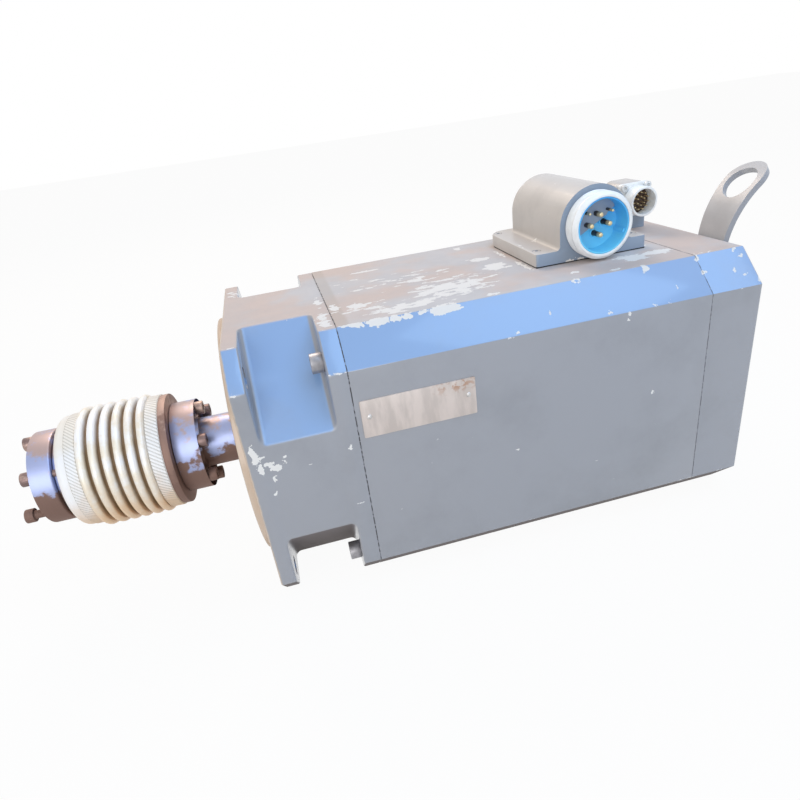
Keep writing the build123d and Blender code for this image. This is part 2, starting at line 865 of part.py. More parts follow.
def arch(plane, radius, foot):
    """The hood's section: a half circle over straight walls that stand on the foot."""
    with BuildSketch(plane) as outline:
        with BuildLine():
            top = CenterArc((power_x, power_z), radius, 0, 180)
            Polyline(top @ 1, (power_x - radius, foot), (power_x + radius, foot), top @ 0)
        make_face()
    return outline.sketch


# Hood: arched casting on its flange, its front wall bored for the shell
shell_radius = shell_diameter / 2
shell_bore = shell_radius - shell_wall
shell_neck_radius = shell_radius - thread_relief
axis_place = [(power_x, power_z)]
with BuildPart() as connector_hood:
    extrude(arch(facing_side(hood_front), hood_radius, flange_top), amount=hood_depth)
    back_rim = connector_hood.edges().group_by(Axis.Y)[0].sort_by(Axis.Z)[1:]
    fillet(back_rim, radius=hood_back_edge)
    front_rim = connector_hood.edges().group_by(Axis.Y)[-1].sort_by(Axis.Z)[1:]
    chamfer(front_rim, length=hood_front_bevel)
    with BuildSketch(Plane.XY.offset(half_width + gasket_thickness)):
        add(flange_outline(0))
    extrude(amount=flange_rise)
    top_outline = connector_hood.edges().filter_by_position(Axis.Z, flange_top, flange_top)
    foot_edges = [
        edge
        for edge in top_outline.filter_by(GeomType.LINE).filter_by(Axis.Y)
        if abs(edge.center().X - power_x) < hood_radius + hood_foot
    ]
    fillet(foot_edges, radius=hood_foot)
    extrude(
        arch(
            facing_side(hood_front - hood_front_wall),
            hood_radius - hood_wall,
            half_width + gasket_thickness,
        ),
        amount=hood_depth - hood_front_wall - hood_wall,
        mode=Mode.SUBTRACT,
    )
    cut_holes(facing_side(hood_front), axis_place, shell_neck_radius + seat_gap, shell_seat)
    cut_holes(facing_side(hood_front), axis_place, shell_bore, hood_front_wall)
    cut_holes(
        Plane.XY.offset(flange_top), flange_screw_places, m3.shank / 2 + screw_gap, -flange_rise
    )
    cut_holes(
        Plane.XY.offset(flange_top),
        flange_screw_places,
        m3.head / 2 + head_clearance,
        -m3.height,
    )
save(connector_hood, "connector_hood")

# Screws of the flange, their heads sunk flush
flange_screws = socket_screws(
    Plane.XY.offset(flange_top - m3.height),
    flange_screw_places,
    m3,
    flange_rise - m3.height + gasket_thickness + flange_screw_grip,
)
save(flange_screws, "flange_screws")

# Shell: ring that takes the plug's nut, on a plain neck seated in the hood
shell_back = hood_front - shell_seat
shell_mouth = hood_front + shell_reach
with BuildPart() as power_shell:
    with BuildSketch(facing_side(shell_mouth)):
        with Locations(*axis_place):
            Circle(shell_radius)
    extrude(amount=shell_reach - power_neck)
    chamfer(power_shell.edges().sort_by(Axis.Y)[-1], length=shell_bevel)
    with BuildSketch(facing_side(hood_front + power_neck)):
        with Locations(*axis_place):
            Circle(shell_neck_radius)
    extrude(amount=power_neck + shell_seat)
    cut_holes(facing_side(shell_mouth), axis_place, shell_bore, shell_mouth - shell_back)
save(power_shell, "power_shell")

# Insert: cup that carries four power pins and two control pins
socket_floor = shell_mouth - socket_depth
insert_rim = shell_mouth - insert_inset
insert_end = socket_floor - insert_back
pin_tip = socket_floor + pin_length
pin_tail = insert_end - tail_length
power_pin_places = ring_of(power_pin_circle / 2, 4)
control_pin_places = ring_of(control_pin_circle / 2, 4, 45)[:2]


def socket_plane(y):
    """The plane across the power connector's axis at y, with its origin on the axis."""
    return Plane(origin=(power_x, y, power_z), x_dir=(1, 0, 0), z_dir=(0, -1, 0))


with BuildPart() as power_insert:
    with BuildSketch(socket_plane(insert_rim)):
        Circle(shell_bore - slip_gap)
    extrude(amount=insert_rim - insert_end)
    cut_holes(
        socket_plane(insert_rim),
        [(0, 0)],
        shell_bore - slip_gap - insert_wall,
        insert_rim - socket_floor,
    )
    cut_holes(
        socket_plane(socket_floor), power_pin_places, power_pin / 2 + seat_gap, insert_back
    )
    cut_holes(
        socket_plane(socket_floor), control_pin_places, control_pin / 2 + seat_gap, insert_back
    )
save(power_insert, "power_insert")


def contact_pins(plane, places, diameter, length):
    """Round contact pins with bevelled tips on the plane, their tails behind it."""
    with BuildPart() as pins:
        with BuildSketch(plane):
            with Locations(*places):
                Circle(diameter / 2)
        extrude(amount=length)
        chamfer(pins.edges().group_by(Axis.Y)[-1], length=diameter / 5)
    return pins


power_pins = contact_pins(socket_plane(pin_tip), power_pin_places, power_pin, pin_tip - pin_tail)
save(power_pins, "power_pins")
control_pins = contact_pins(
    socket_plane(pin_tip), control_pin_places, control_pin, pin_tip - pin_tail
)
save(control_pins, "control_pins")

# Signal connector: angled block on the rear cover, flange, shell, insert and pins
signal_z = half_width + signal_rise
signal_flange_face = signal_y + signal_block / 2
signal_block_front = signal_flange_face - signal_flange_thickness
signal_block_back = signal_block_front - signal_block + signal_flange_thickness
signal_bore = signal_shell_diameter / 2 - signal_shell_wall
signal_mouth = signal_flange_face + signal_shell_reach
signal_face = signal_mouth - signal_socket_depth
signal_insert_end = signal_block_front - signal_insert_seat
signal_screw_pitch = 20.4
signal_screw_places = [
    (way_x * signal_screw_pitch / 2, way_z * signal_screw_pitch / 2)
    for way_x in (-1, 1)
    for way_z in (-1, 1)
]
signal_screw_grip = 6.0


def signal_plane(y):
    """The plane across the signal connector's axis at y, with its origin on the axis."""
    return Plane(origin=(signal_x, y, signal_z), x_dir=(1, 0, 0), z_dir=(0, -1, 0))


with BuildPart() as signal_housing:
    with BuildSketch(Plane.XY.offset(half_width)):
        with Locations((signal_x, (signal_block_front + signal_block_back) / 2)):
            Rectangle(signal_block, signal_block_front - signal_block_back)
    extrude(amount=signal_block_height)
    top_edges = signal_housing.edges().filter_by(Axis.Y).group_by(Axis.Z)[-1]
    fillet(top_edges, radius=signal_block / 4)
    with BuildSketch(Plane.XY.offset(half_width)):
        with Locations((signal_x, signal_y)):
            Circle(signal_neck - seat_gap)
    extrude(amount=-cover_wall)
    with BuildSketch(Plane.XY.offset(half_width - cover_wall)):
        with Locations((signal_x, signal_y)):
            Circle(signal_neck - 2.0)
    extrude(amount=cover_wall + signal_rise, mode=Mode.SUBTRACT)
    cut_holes(signal_plane(signal_block_front), [(0, 0)], signal_bore, signal_bore_depth)
    cut_holes(
        signal_plane(signal_block_front),
        signal_screw_places,
        m3.shank / 2 + thread_gap,
        signal_screw_grip + blind_allowance,
    )
save(signal_housing, "signal_housing")

# The shell, its plain neck and its square flange are one turned piece
signal_shell_radius = signal_shell_diameter / 2
signal_neck_length = m3.height + signal_neck_margin
with BuildPart() as signal_shell:
    with BuildSketch(signal_plane(signal_flange_face)):
        RectangleRounded(signal_flange, signal_flange, 2.5)
    extrude(amount=signal_flange_thickness)
    with BuildSketch(signal_plane(signal_mouth)):
        Circle(signal_shell_radius)
    extrude(amount=signal_shell_reach - signal_neck_length)
    with BuildSketch(signal_plane(signal_flange_face + signal_neck_length)):
        Circle(signal_shell_radius - thread_relief)
    extrude(amount=signal_neck_length)
    cut_holes(
        signal_plane(signal_mouth),
        [(0, 0)],
        signal_bore,
        signal_shell_reach + signal_flange_thickness,
    )
    cut_holes(
        signal_plane(signal_flange_face),
        signal_screw_places,
        m3.shank / 2 + screw_gap,
        signal_flange_thickness,
    )
save(signal_shell, "signal_shell")

signal_screws = socket_screws(
    Plane(origin=(signal_x, signal_flange_face, signal_z), x_dir=(1, 0, 0), z_dir=(0, 1, 0)),
    signal_screw_places,
    m3,
    signal_flange_thickness + signal_screw_grip,
)
save(signal_screws, "signal_screws")

signal_pin_places = ring_of(outer_pin_circle / 2, 11, 90) + ring_of(inner_pin_circle / 2, 6, 90)
with BuildPart() as signal_insert:
    with BuildSketch(signal_plane(signal_face)):
        Circle(signal_bore - slip_gap)
    extrude(amount=signal_face - signal_insert_end)
save(signal_insert, "signal_insert")

with BuildPart() as signal_pins:
    with BuildSketch(signal_plane(signal_face + signal_pin_length)):
        with Locations(*signal_pin_places):
            Circle(signal_pin / 2)
    extrude(amount=signal_pin_length)
save(signal_pins, "signal_pins")

# Stations of the coupling, from the motor outwards
screw_web = 0.7  # between the hub's cone and a clamp screw
sleeve_overhang = 2.0  # of the motor hub's sleeve past the shaft
sleeve_gap = 18.0  # between the two hubs' sleeves inside the bellows
cuff_inset = 0.5  # of the cuff's outside from the bellows' valleys
cuff_end_gap = 0.5  # between a cuff and the hub behind it
shaft_radius = shaft_diameter / 2
driven_radius = driven_bore / 2
cone_foot_radius = max(shaft_radius, driven_radius) + cone_wall + cone_rise
clamp_screw_radius = cone_foot_radius + m6.shank / 2 + screw_web
clamp_ring_radius = clamp_screw_radius + clamp_ring_edge
clamp_end = hub_start + motor_clamp_width
disc_start = clamp_end + clamp_gap
disc_end = disc_start + hub_disc_width
register_end = disc_end + register_width
sleeve_end = shaft_reach + sleeve_overhang
bellows_start = disc_end + end_ring_width
bellows_end = bellows_start + bellows_length
outer_ring_end = bellows_end + outer_ring_width
outer_disc_end = outer_ring_end + driven_disc_width
outer_clamp_start = outer_disc_end + clamp_gap
outer_clamp_end = outer_clamp_start + driven_clamp_width
outer_sleeve_start = sleeve_end + sleeve_gap
driven_register_start = outer_ring_end - register_width
disc_radius = hub_disc_diameter / 2
cuff_radius = bellows_root / 2 - cuff_inset
register_radius = cuff_radius - seat_gap
thread_skin = 0.3  # left at the bottom of each tapped hole
motor_screw_length = register_end - hub_start - blind_allowance - thread_skin
driven_screw_length = outer_clamp_end - driven_register_start - blind_allowance - thread_skin
clamp_screw_places = ring_of(clamp_screw_radius, clamp_screw_count, 30)
cone_start = 1.5  # the hub's cone is this much shorter than its ring


def clamp_ring(thick_end, thin_end, bore_edge):
    """Ring with a tapered bore that the clamp screws draw onto the hub's cone."""
    wide = bore_edge + cone_rise + seat_gap
    narrow = bore_edge + seat_gap
    return (
        (thin_end, narrow),
        (thick_end, wide),
        (thick_end, clamp_ring_radius),
        (thin_end, clamp_ring_radius),
    )


# Motor-side clamp ring with its tapered bore
with BuildPart() as motor_clamp_ring:
    turned(clamp_ring(clamp_end, hub_start, shaft_radius + cone_wall))
    chamfer(
        motor_clamp_ring.edges().filter_by(GeomType.CIRCLE).sort_by(SortBy.RADIUS)[-2:],
        length=casting_edge,
    )
    cut_holes(
        across_shaft(hub_start),
        clamp_screw_places,
        m6.shank / 2 + screw_gap,
        motor_clamp_width,
    )
save(motor_clamp_ring, "motor_clamp_ring")

# Motor-side hub: cone on the shaft, disc, register and sleeve
with BuildPart() as motor_hub:
    turned(
        (
            (hub_start + cone_start, shaft_radius + seat_gap),
            (hub_start + cone_start, shaft_radius + cone_wall),
            (clamp_end, shaft_radius + cone_wall + cone_rise),
            (disc_start, shaft_radius + cone_wall + cone_rise),
            (disc_start, disc_radius),
            (disc_end, disc_radius),
            (disc_end, register_radius),
            (register_end, register_radius),
            (register_end, shaft_radius + hub_sleeve_wall),
            (sleeve_end, shaft_radius + hub_sleeve_wall),
            (sleeve_end, shaft_radius + seat_gap),
        )
    )
    cut_holes(
        across_shaft(disc_start),
        clamp_screw_places,
        m6.shank / 2 + thread_gap,
        register_end - disc_start - thread_skin,
    )
save(motor_hub, "motor_hub")

motor_clamp_screws = socket_screws(
    across_shaft(hub_start), clamp_screw_places, m6, motor_screw_length, way=-1
)
save(motor_clamp_screws, "motor_clamp_screws")

# End ring of the bellows, knurled outside
with BuildPart() as motor_end_ring:
    with BuildSketch(across_shaft(disc_end)):
        Circle(end_ring_diameter / 2)
        Circle(cuff_radius, mode=Mode.SUBTRACT)
    extrude(amount=end_ring_width)
    chamfer(
        motor_end_ring.edges().filter_by(GeomType.CIRCLE).sort_by(SortBy.RADIUS)[-2:],
        length=casting_edge / 2,
    )
save(motor_end_ring, "motor_end_ring")

# Bellows: six round crests on a thin tube, with a plain cuff inside each end ring
crest_middle = bellows_crest / 2 - crest_radius
first_crest = (bellows_start + bellows_end - (crest_count - 1) * crest_pitch) / 2
cuff_length = end_ring_width - register_width - cuff_end_gap
with BuildPart() as bellows:
    with BuildSketch(Plane.XZ):
        with BuildLine():
            corners = [
                (bellows_end + cuff_length, bellows_bore / 2),
                (bellows_start - cuff_length, bellows_bore / 2),
                (bellows_start - cuff_length, cuff_radius - seat_gap),
                (bellows_start, cuff_radius - seat_gap),
                (bellows_start, bellows_root / 2),
            ]
            Polyline(*corners)
            previous = corners[-1]
            for i in range(crest_count):
                crest_x = first_crest + i * crest_pitch
                crest = CenterArc((crest_x, crest_middle), crest_radius, 180, -180)
                rise = (crest_x - crest_radius, bellows_root / 2)
                Line(previous, rise)
                Line(rise, crest @ 0)
                previous = (crest_x + crest_radius, bellows_root / 2)
                Line(crest @ 1, previous)
            Polyline(
                previous,
                (bellows_end, bellows_root / 2),
                (bellows_end, cuff_radius - seat_gap),
                (bellows_end + cuff_length, cuff_radius - seat_gap),
                corners[0],
            )
        make_face()
    revolve(axis=Axis.X)
save(bellows, "bellows")

# Outer end ring: knurled band, smooth band and a broad bevel towards the driven side
ring_step = 0.6
with BuildPart() as driven_end_ring:
    turned(
        (
            (bellows_end, cuff_radius),
            (bellows_end, disc_radius),
            (bellows_end + outer_ring_width / 2 - ring_step, disc_radius),
            (bellows_end + outer_ring_width / 2, disc_radius - ring_step),
            (outer_ring_end - outer_ring_bevel, disc_radius - ring_step),
            (outer_ring_end, disc_radius - outer_ring_bevel),
            (outer_ring_end, driven_register / 2 + seat_gap),
            (bellows_end + cuff_length + cuff_end_gap, driven_register / 2 + seat_gap),
            (bellows_end + cuff_length + cuff_end_gap, cuff_radius),
        )
    )
save(driven_end_ring, "driven_end_ring")

# Driven hub: sleeve inside the bellows, register, disc and cone
with BuildPart() as driven_hub:
    turned(
        (
            (outer_sleeve_start, driven_radius),
            (outer_sleeve_start, driven_radius + hub_sleeve_wall),
            (driven_register_start, driven_radius + hub_sleeve_wall),
            (driven_register_start, driven_register / 2),
            (outer_ring_end, driven_register / 2),
            (outer_ring_end, driven_disc_diameter / 2),
            (outer_disc_end, driven_disc_diameter / 2),
            (outer_disc_end, driven_radius + cone_wall + cone_rise),
            (outer_clamp_start, driven_radius + cone_wall + cone_rise),
            (outer_clamp_end - cone_start, driven_radius + cone_wall),
            (outer_clamp_end - cone_start, driven_radius),
        )
    )
    cut_holes(
        across_shaft(outer_disc_end),
        clamp_screw_places,
        m6.shank / 2 + thread_gap,
        driven_register_start - outer_disc_end + thread_skin,
    )
save(driven_hub, "driven_hub")

with BuildPart() as driven_clamp_ring:
    turned(clamp_ring(outer_clamp_start, outer_clamp_end, driven_radius + cone_wall))
    outer_rims = driven_clamp_ring.edges().filter_by(GeomType.CIRCLE).group_by(Axis.X)[-1]
    chamfer(outer_rims.sort_by(SortBy.RADIUS)[-1], length=outer_end_bevel)
    cut_holes(
        across_shaft(outer_clamp_start),
        clamp_screw_places,
        m6.shank / 2 + screw_gap,
        driven_clamp_width,
    )
save(driven_clamp_ring, "driven_clamp_ring")

# Screws of the driven side, one of them backed out
loose_place = clamp_screw_places[-1]
with BuildPart() as driven_clamp_screws:
    add(
        socket_screws(
            across_shaft(outer_clamp_end), clamp_screw_places[:-1], m6, driven_screw_length
        ).part
    )
    add(
        socket_screws(
            across_shaft(outer_clamp_end + loose_screw_travel),
            [loose_place],
            m6,
            driven_screw_length,
        ).part
    )
save(driven_clamp_screws, "driven_clamp_screws")
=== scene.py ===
import json
from itertools import product
from math import atan2, cos, floor, hypot, pi, radians, sin

import bmesh
import bpy
from bpy.props import FloatProperty, FloatVectorProperty, IntProperty, PointerProperty
from mathutils import Matrix, Vector

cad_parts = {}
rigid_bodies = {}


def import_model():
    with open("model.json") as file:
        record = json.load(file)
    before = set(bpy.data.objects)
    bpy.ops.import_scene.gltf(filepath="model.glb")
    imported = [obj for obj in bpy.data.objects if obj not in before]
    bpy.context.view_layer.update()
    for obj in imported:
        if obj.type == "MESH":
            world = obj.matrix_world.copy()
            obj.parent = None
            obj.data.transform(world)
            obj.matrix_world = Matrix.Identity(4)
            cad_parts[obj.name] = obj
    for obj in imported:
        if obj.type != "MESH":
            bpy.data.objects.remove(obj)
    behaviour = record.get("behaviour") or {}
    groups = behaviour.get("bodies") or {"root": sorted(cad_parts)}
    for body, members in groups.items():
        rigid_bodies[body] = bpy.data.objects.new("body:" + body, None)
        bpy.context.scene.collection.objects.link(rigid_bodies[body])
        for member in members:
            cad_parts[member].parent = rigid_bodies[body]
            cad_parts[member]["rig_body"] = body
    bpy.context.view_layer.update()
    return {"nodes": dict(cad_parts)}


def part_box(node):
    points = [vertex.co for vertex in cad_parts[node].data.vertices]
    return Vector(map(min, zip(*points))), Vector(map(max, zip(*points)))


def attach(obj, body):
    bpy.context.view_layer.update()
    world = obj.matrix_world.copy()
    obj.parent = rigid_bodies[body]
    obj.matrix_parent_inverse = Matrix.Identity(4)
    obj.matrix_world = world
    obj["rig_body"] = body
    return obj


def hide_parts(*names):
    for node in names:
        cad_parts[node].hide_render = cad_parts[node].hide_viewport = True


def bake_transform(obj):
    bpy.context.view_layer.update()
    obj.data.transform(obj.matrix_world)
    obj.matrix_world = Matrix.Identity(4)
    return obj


bl_info = {
    "name": "Servo motor with bellows coupling",
    "version": (1, 0, 0),
    "blender": (4, 5, 0),
    "location": "3D View > Sidebar > Motor",
    "description": "Models and finishes a flanged servo motor around its packed frame",
    "category": "Object",
}

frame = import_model()

MM = 0.001
HOUSING_LOW, HOUSING_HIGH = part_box("stator_housing")
COVER_LOW, COVER_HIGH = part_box("rear_cover")
SHIELD_LOW, SHIELD_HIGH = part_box("front_shield")
CORNER_LEG = 0.0218


def length(name, default, description):
    """A size in metres that the user can change."""
    return FloatProperty(name=name, description=description, default=default, unit="LENGTH",
                         subtype="DISTANCE", precision=5)


def power(name, watts, description):
    """A lamp's power that the user can change."""
    return FloatProperty(name=name, description=description + ", in watts", default=watts)


def colour(name, rgb, description):
    """A linear colour that the user can change."""
    return FloatVectorProperty(name=name, description=description, default=rgb, size=3,
                               min=0.0, max=1.0, subtype="COLOR")


def place(name, xyz, description):
    """A place in metres that the user can change."""
    return FloatVectorProperty(name=name, description=description, default=xyz, size=3,
                               unit="LENGTH", subtype="TRANSLATION", precision=5)


class MotorHousingSizes(bpy.types.PropertyGroup):
    """Sizes of the three castings that make the motor's body."""
    corner_leg: length("Corner leg", CORNER_LEG, "Leg of the cut on each long corner")
    shield_edge: length("Shield edge", 0.0014, "Rounding of the front shield's edges")
    seam_edge: length("Seam edge", 0.0005, "Rounding of the edges that meet at a seam")
    flange_thickness: length("Flange", 0.011, "Thickness of the mounting flange")
    web_thickness: length("Rear web", 0.0122, "Thickness of the web behind the corner pockets")
    pocket_floor: length("Pocket floor", 0.094, "Shaft axis to the floor of a corner pocket")
    pocket_corner: length("Pocket corner", 0.0045, "Rounding along a pocket's floor")
    spigot_radius: length("Spigot radius", 0.09, "Radius of the centring spigot")
    bolt_circle: length("Bolt circle", 0.1075, "Radius of the circle of flange holes")
    bolt_hole: length("Bolt hole", 0.007, "Radius of a flange hole")
    bore: length("Housing bore", 0.086, "Radius of the stator housing's bore")
    cover_wall: length("Cover wall", 0.007, "Thickness of the rear cover's walls")


class MotorConnectorSizes(bpy.types.PropertyGroup):
    """Sizes of the power and signal connectors."""
    hood_radius: length("Hood radius", 0.0267, "Radius of the hood's arch")
    hood_wall: length("Hood wall", 0.005, "Thickness of the hood's arch")
    hood_back_edge: length("Hood back edge", 0.0088, "Rounding of the hood's back rim")
    hood_front_edge: length("Hood front edge", 0.0014, "Rounding of the hood's front rim")
    hood_foot: length("Hood foot", 0.0028, "Hollow rounding where the hood meets its flange")
    hood_flange: length("Hood flange", 0.009, "Height of the hood's flange")
    flange_back_corner: length("Flange back corner", 0.014, "Rounding of the flange's back corners")
    flange_front_corner: length("Flange front corner", 0.0025, "Rounding of its front corners")
    shell_bore: length("Shell bore", 0.01935, "Inner radius of the threaded shell")
    shell_bevel: length("Shell bevel", 0.0022, "Bevel at the shell's mouth")
    thread_pitch: length("Thread pitch", 0.0015, "Distance between two thread ridges")
    thread_depth: length("Thread depth", 0.0005, "Depth of a thread groove")


class MotorCouplingSizes(bpy.types.PropertyGroup):
    """Sizes of the bellows coupling."""
    edge: length("Edge", 0.0008, "Rounding of the turned edges")
    root_radius: length("Bellows root", 0.0385, "Radius in the bellows' valleys")
    crest_round: length("Crest rounding", 0.0027, "Radius of the round top of a crest")
    valley_round: length("Valley rounding", 0.0012, "Radius at the foot of a crest")
    crest_pitch: length("Crest pitch", 0.00827, "Distance between two crests")
    crest_count: IntProperty(name="Crests", description="Number of bellows crests", default=6)
    knurl_teeth: IntProperty(name="Knurl teeth", description="Teeth round a knurled ring", default=96)
    knurl_depth: length("Knurl depth", 0.00045, "Depth of the knurl")
    knurl_slant: length("Knurl slant", -0.0072, "How far a tooth leads round across the ring")


class MotorColours(bpy.types.PropertyGroup):
    """Linear colours of the finishes."""
    paint: colour("Paint", (0.345, 0.355, 0.388), "Blue-grey enamel of the body")
    paint_dark: colour("Dull paint", (0.275, 0.285, 0.31), "The same enamel where it is stained")
    # A painted reflection of the blue sky, put into the enamel's colour on the upper slanting faces
    painted_sky_sheen: colour("Sheen", (0.26, 0.42, 0.70), "The enamel's bluer tone on the slanting faces")
    dust: colour("Dust", (0.68, 0.56, 0.50), "Warm dust on faces that look up")
    dust_grey: colour("Grey dust", (0.63, 0.61, 0.61), "Greyer dust in patches")
    # Painted shade on faces that look down, brown as a painted reflection of the ground; under the body
    # it stands for grime too
    dirt_and_shade: colour("Dirt", (0.13, 0.098, 0.085), "Brown dirt on faces that look down")
    primer: colour("Primer", (0.84, 0.82, 0.79), "Pale primer in the chips")
    worn: colour("Worn metal", (0.66, 0.52, 0.40), "Tarnished bare metal of the spigot and mating face")
    # The hood's sides and top: its blue-grey enamel lightened to beige by painted warm light, and dusty
    hood: colour("Hood", (0.60, 0.56, 0.52), "Beige-grey enamel of the connector hood")
    # The hood's front faces: the enamel's blue-grey, without the painted warm light
    hood_front: colour("Hood front", (0.27, 0.34, 0.44), "Blue-grey of the hood's cleaner front")
    # The strap's faces other than its front: its enamel lightened by painted warm light; the front faces
    # take the body paint
    strap: colour("Strap", (0.54, 0.53, 0.53), "Beige-grey enamel of the strap")
    # A painted reflection of the blue sky: the turned steel shows this blue above the shaft's middle,
    # wherever no rust covers it
    steel: colour("Oxidised steel", (0.35, 0.40, 0.62), "Blued skin of the turned steel")
    rust: colour("Rust", (0.26, 0.165, 0.135), "Brown rust under the shaft's middle")
    rust_dust: colour("Rusty dust", (0.46, 0.33, 0.28), "Dry rust on top of the turned steel")
    ring: colour("Ring", (1.0, 0.99, 0.98), "Off-white knurled rings")
    groove: colour("Groove", (0.26, 0.23, 0.16), "Dirt in the knurl's grooves")
    ivory: colour("Ivory", (0.92, 0.84, 0.70), "Tarnish on the bellows' crests")
    tan: colour("Tan", (0.80, 0.54, 0.31), "Orange-brown tarnish towards the underside")
    # Painted shade in the bellows' valleys, in brown
    valley_shade: colour("Valley", (0.36, 0.25, 0.15), "Brown dirt in the bellows' valleys")
    shell: colour("Shell", (0.95, 0.97, 0.97), "Plated connector shells")
    blue: colour("Blue", (0.13, 0.55, 1.0), "Blue plug insert")
    plate: colour("Nameplate", (0.58, 0.51, 0.47), "Tarnished bare nameplate")
    gilt: colour("Gilt", (0.78, 0.62, 0.36), "Contact pins")
    socket: colour("Socket", (0.055, 0.03, 0.02), "Dark moulding of the signal socket")
    rubber: colour("Rubber", (0.02, 0.02, 0.022), "Seals and gaskets")
    floor: colour("Floor", (0.80, 0.80, 0.80), "Pale floor")


class MotorStudio(bpy.types.PropertyGroup):
    """Camera and lamps."""
    camera_place: place("Camera", (-0.04323, 0.42636, 0.21803), "Where the camera stands")
    camera_turn: FloatVectorProperty(name="Camera turn", description="The camera's Euler angles",
                                     default=(radians(62.889), radians(7.160), radians(166.332)),
                                     size=3, subtype="EULER")
    lens: FloatProperty(name="Lens", description="Focal length for a 36 mm sensor", default=26.79)
    sky_power: power("Sky panel", 9.0, "Pale blue overhead panel")
    sun_power: power("Warm lamp", 10.0, "Warm lamp over the back")
    fill_power: power("Fill", 7.0, "Neutral lamp by the camera")


def deselect():
    """Leaves edit mode and deselects every object."""
    if bpy.context.mode != "OBJECT":
        bpy.ops.object.mode_set(mode="OBJECT")
    bpy.ops.object.select_all(action="DESELECT")


def choose(obj):
    """Makes obj the only selected object."""
    deselect()
    obj.select_set(True)
    bpy.context.view_layer.objects.active = obj


def pick(obj, kind, wanted):
    """Opens obj in edit mode with the faces, edges or vertices that wanted() accepts selected."""
    choose(obj)
    bpy.ops.object.mode_set(mode="EDIT")
    bpy.ops.mesh.select_mode(type=kind)
    bpy.ops.mesh.select_all(action="DESELECT")
    mesh = bmesh.from_edit_mesh(obj.data)
    items = {"VERT": mesh.verts, "EDGE": mesh.edges, "FACE": mesh.faces}[kind]
    picked = [item for item in items if wanted(item)]
    if not picked:
        raise RuntimeError(f"nothing to shape on {obj.name}")
    for item in picked:
        item.select_set(True)
    bmesh.update_edit_mesh(obj.data)


def sharp(edge, least=radians(25)):
    """Whether two faces meet at an angle along the edge."""
    return len(edge.link_faces) == 2 and edge.calc_face_angle() > least


def span(edge, axis):
    """How far an edge reaches along an axis."""
    return abs(getattr(edge.verts[0].co, axis) - getattr(edge.verts[1].co, axis))


def middle(edge):
    """The middle point of an edge."""
    return (edge.verts[0].co + edge.verts[1].co) / 2


def round_edges(obj, wanted, width, segments=3):
    """Bevels the edges that wanted() accepts."""
    pick(obj, "EDGE", wanted)
    bpy.ops.mesh.bevel(offset=width, segments=segments, affect="EDGES", clamp_overlap=True)
    deselect()


def block(low, high):
    """A cube shaped to a box."""
    deselect()
    low = Vector(low)
    high = Vector(high)
    bpy.ops.mesh.primitive_cube_add(size=1, location=(low + high) / 2, scale=high - low)
    bpy.ops.object.transform_apply()
    return bpy.context.object


def rod(start, end, radius, sides=48):
    """A cylinder from one point to another."""
    deselect()
    start = Vector(start)
    axis = Vector(end) - start
    turn = axis.to_track_quat("Z", "Y").to_euler()
    bpy.ops.mesh.primitive_cylinder_add(vertices=sides, radius=radius, depth=axis.length,
                                        location=start + axis / 2, rotation=turn)
    bpy.ops.object.transform_apply()
    return bpy.context.object


def combine(obj, tool, operation="DIFFERENCE"):
    """Cuts the tool from obj, or joins it, and uses the tool up."""
    choose(obj)
    bpy.ops.object.modifier_add(type="BOOLEAN")
    modifier = obj.modifiers[-1]
    modifier.operation = operation
    modifier.solver = "EXACT"
    modifier.object = tool
    bpy.ops.object.modifier_apply(modifier=modifier.name)
    bpy.data.objects.remove(tool, do_unlink=True)


def drill(obj, start, end, radius, sides):
    """Cuts a round hole from one point to another."""
    combine(obj, rod(start, end, radius, sides))


def copies(obj, matrices):
    """Copies of obj at each matrix, joined into one object; obj itself is used up."""
    placed = []
    for matrix in matrices:
        copy = obj.copy()
        copy.data = obj.data.copy()
        bpy.context.scene.collection.objects.link(copy)
        copy.matrix_world = matrix
        placed.append(copy)
    bpy.data.objects.remove(obj, do_unlink=True)
    deselect()
    for copy in placed:
        copy.select_set(True)
    bpy.context.view_layer.objects.active = placed[0]
    bpy.ops.object.join()
    bpy.ops.object.transform_apply()
    return bpy.context.object


def arc(centre, radius, first, last, count):
    """Points of an arc in (along, out) coordinates, by angles in degrees."""
    angles = [radians(first + (last - first) * i / count) for i in range(count + 1)]
    return [(centre[0] + radius * cos(a), centre[1] + radius * sin(a)) for a in angles]


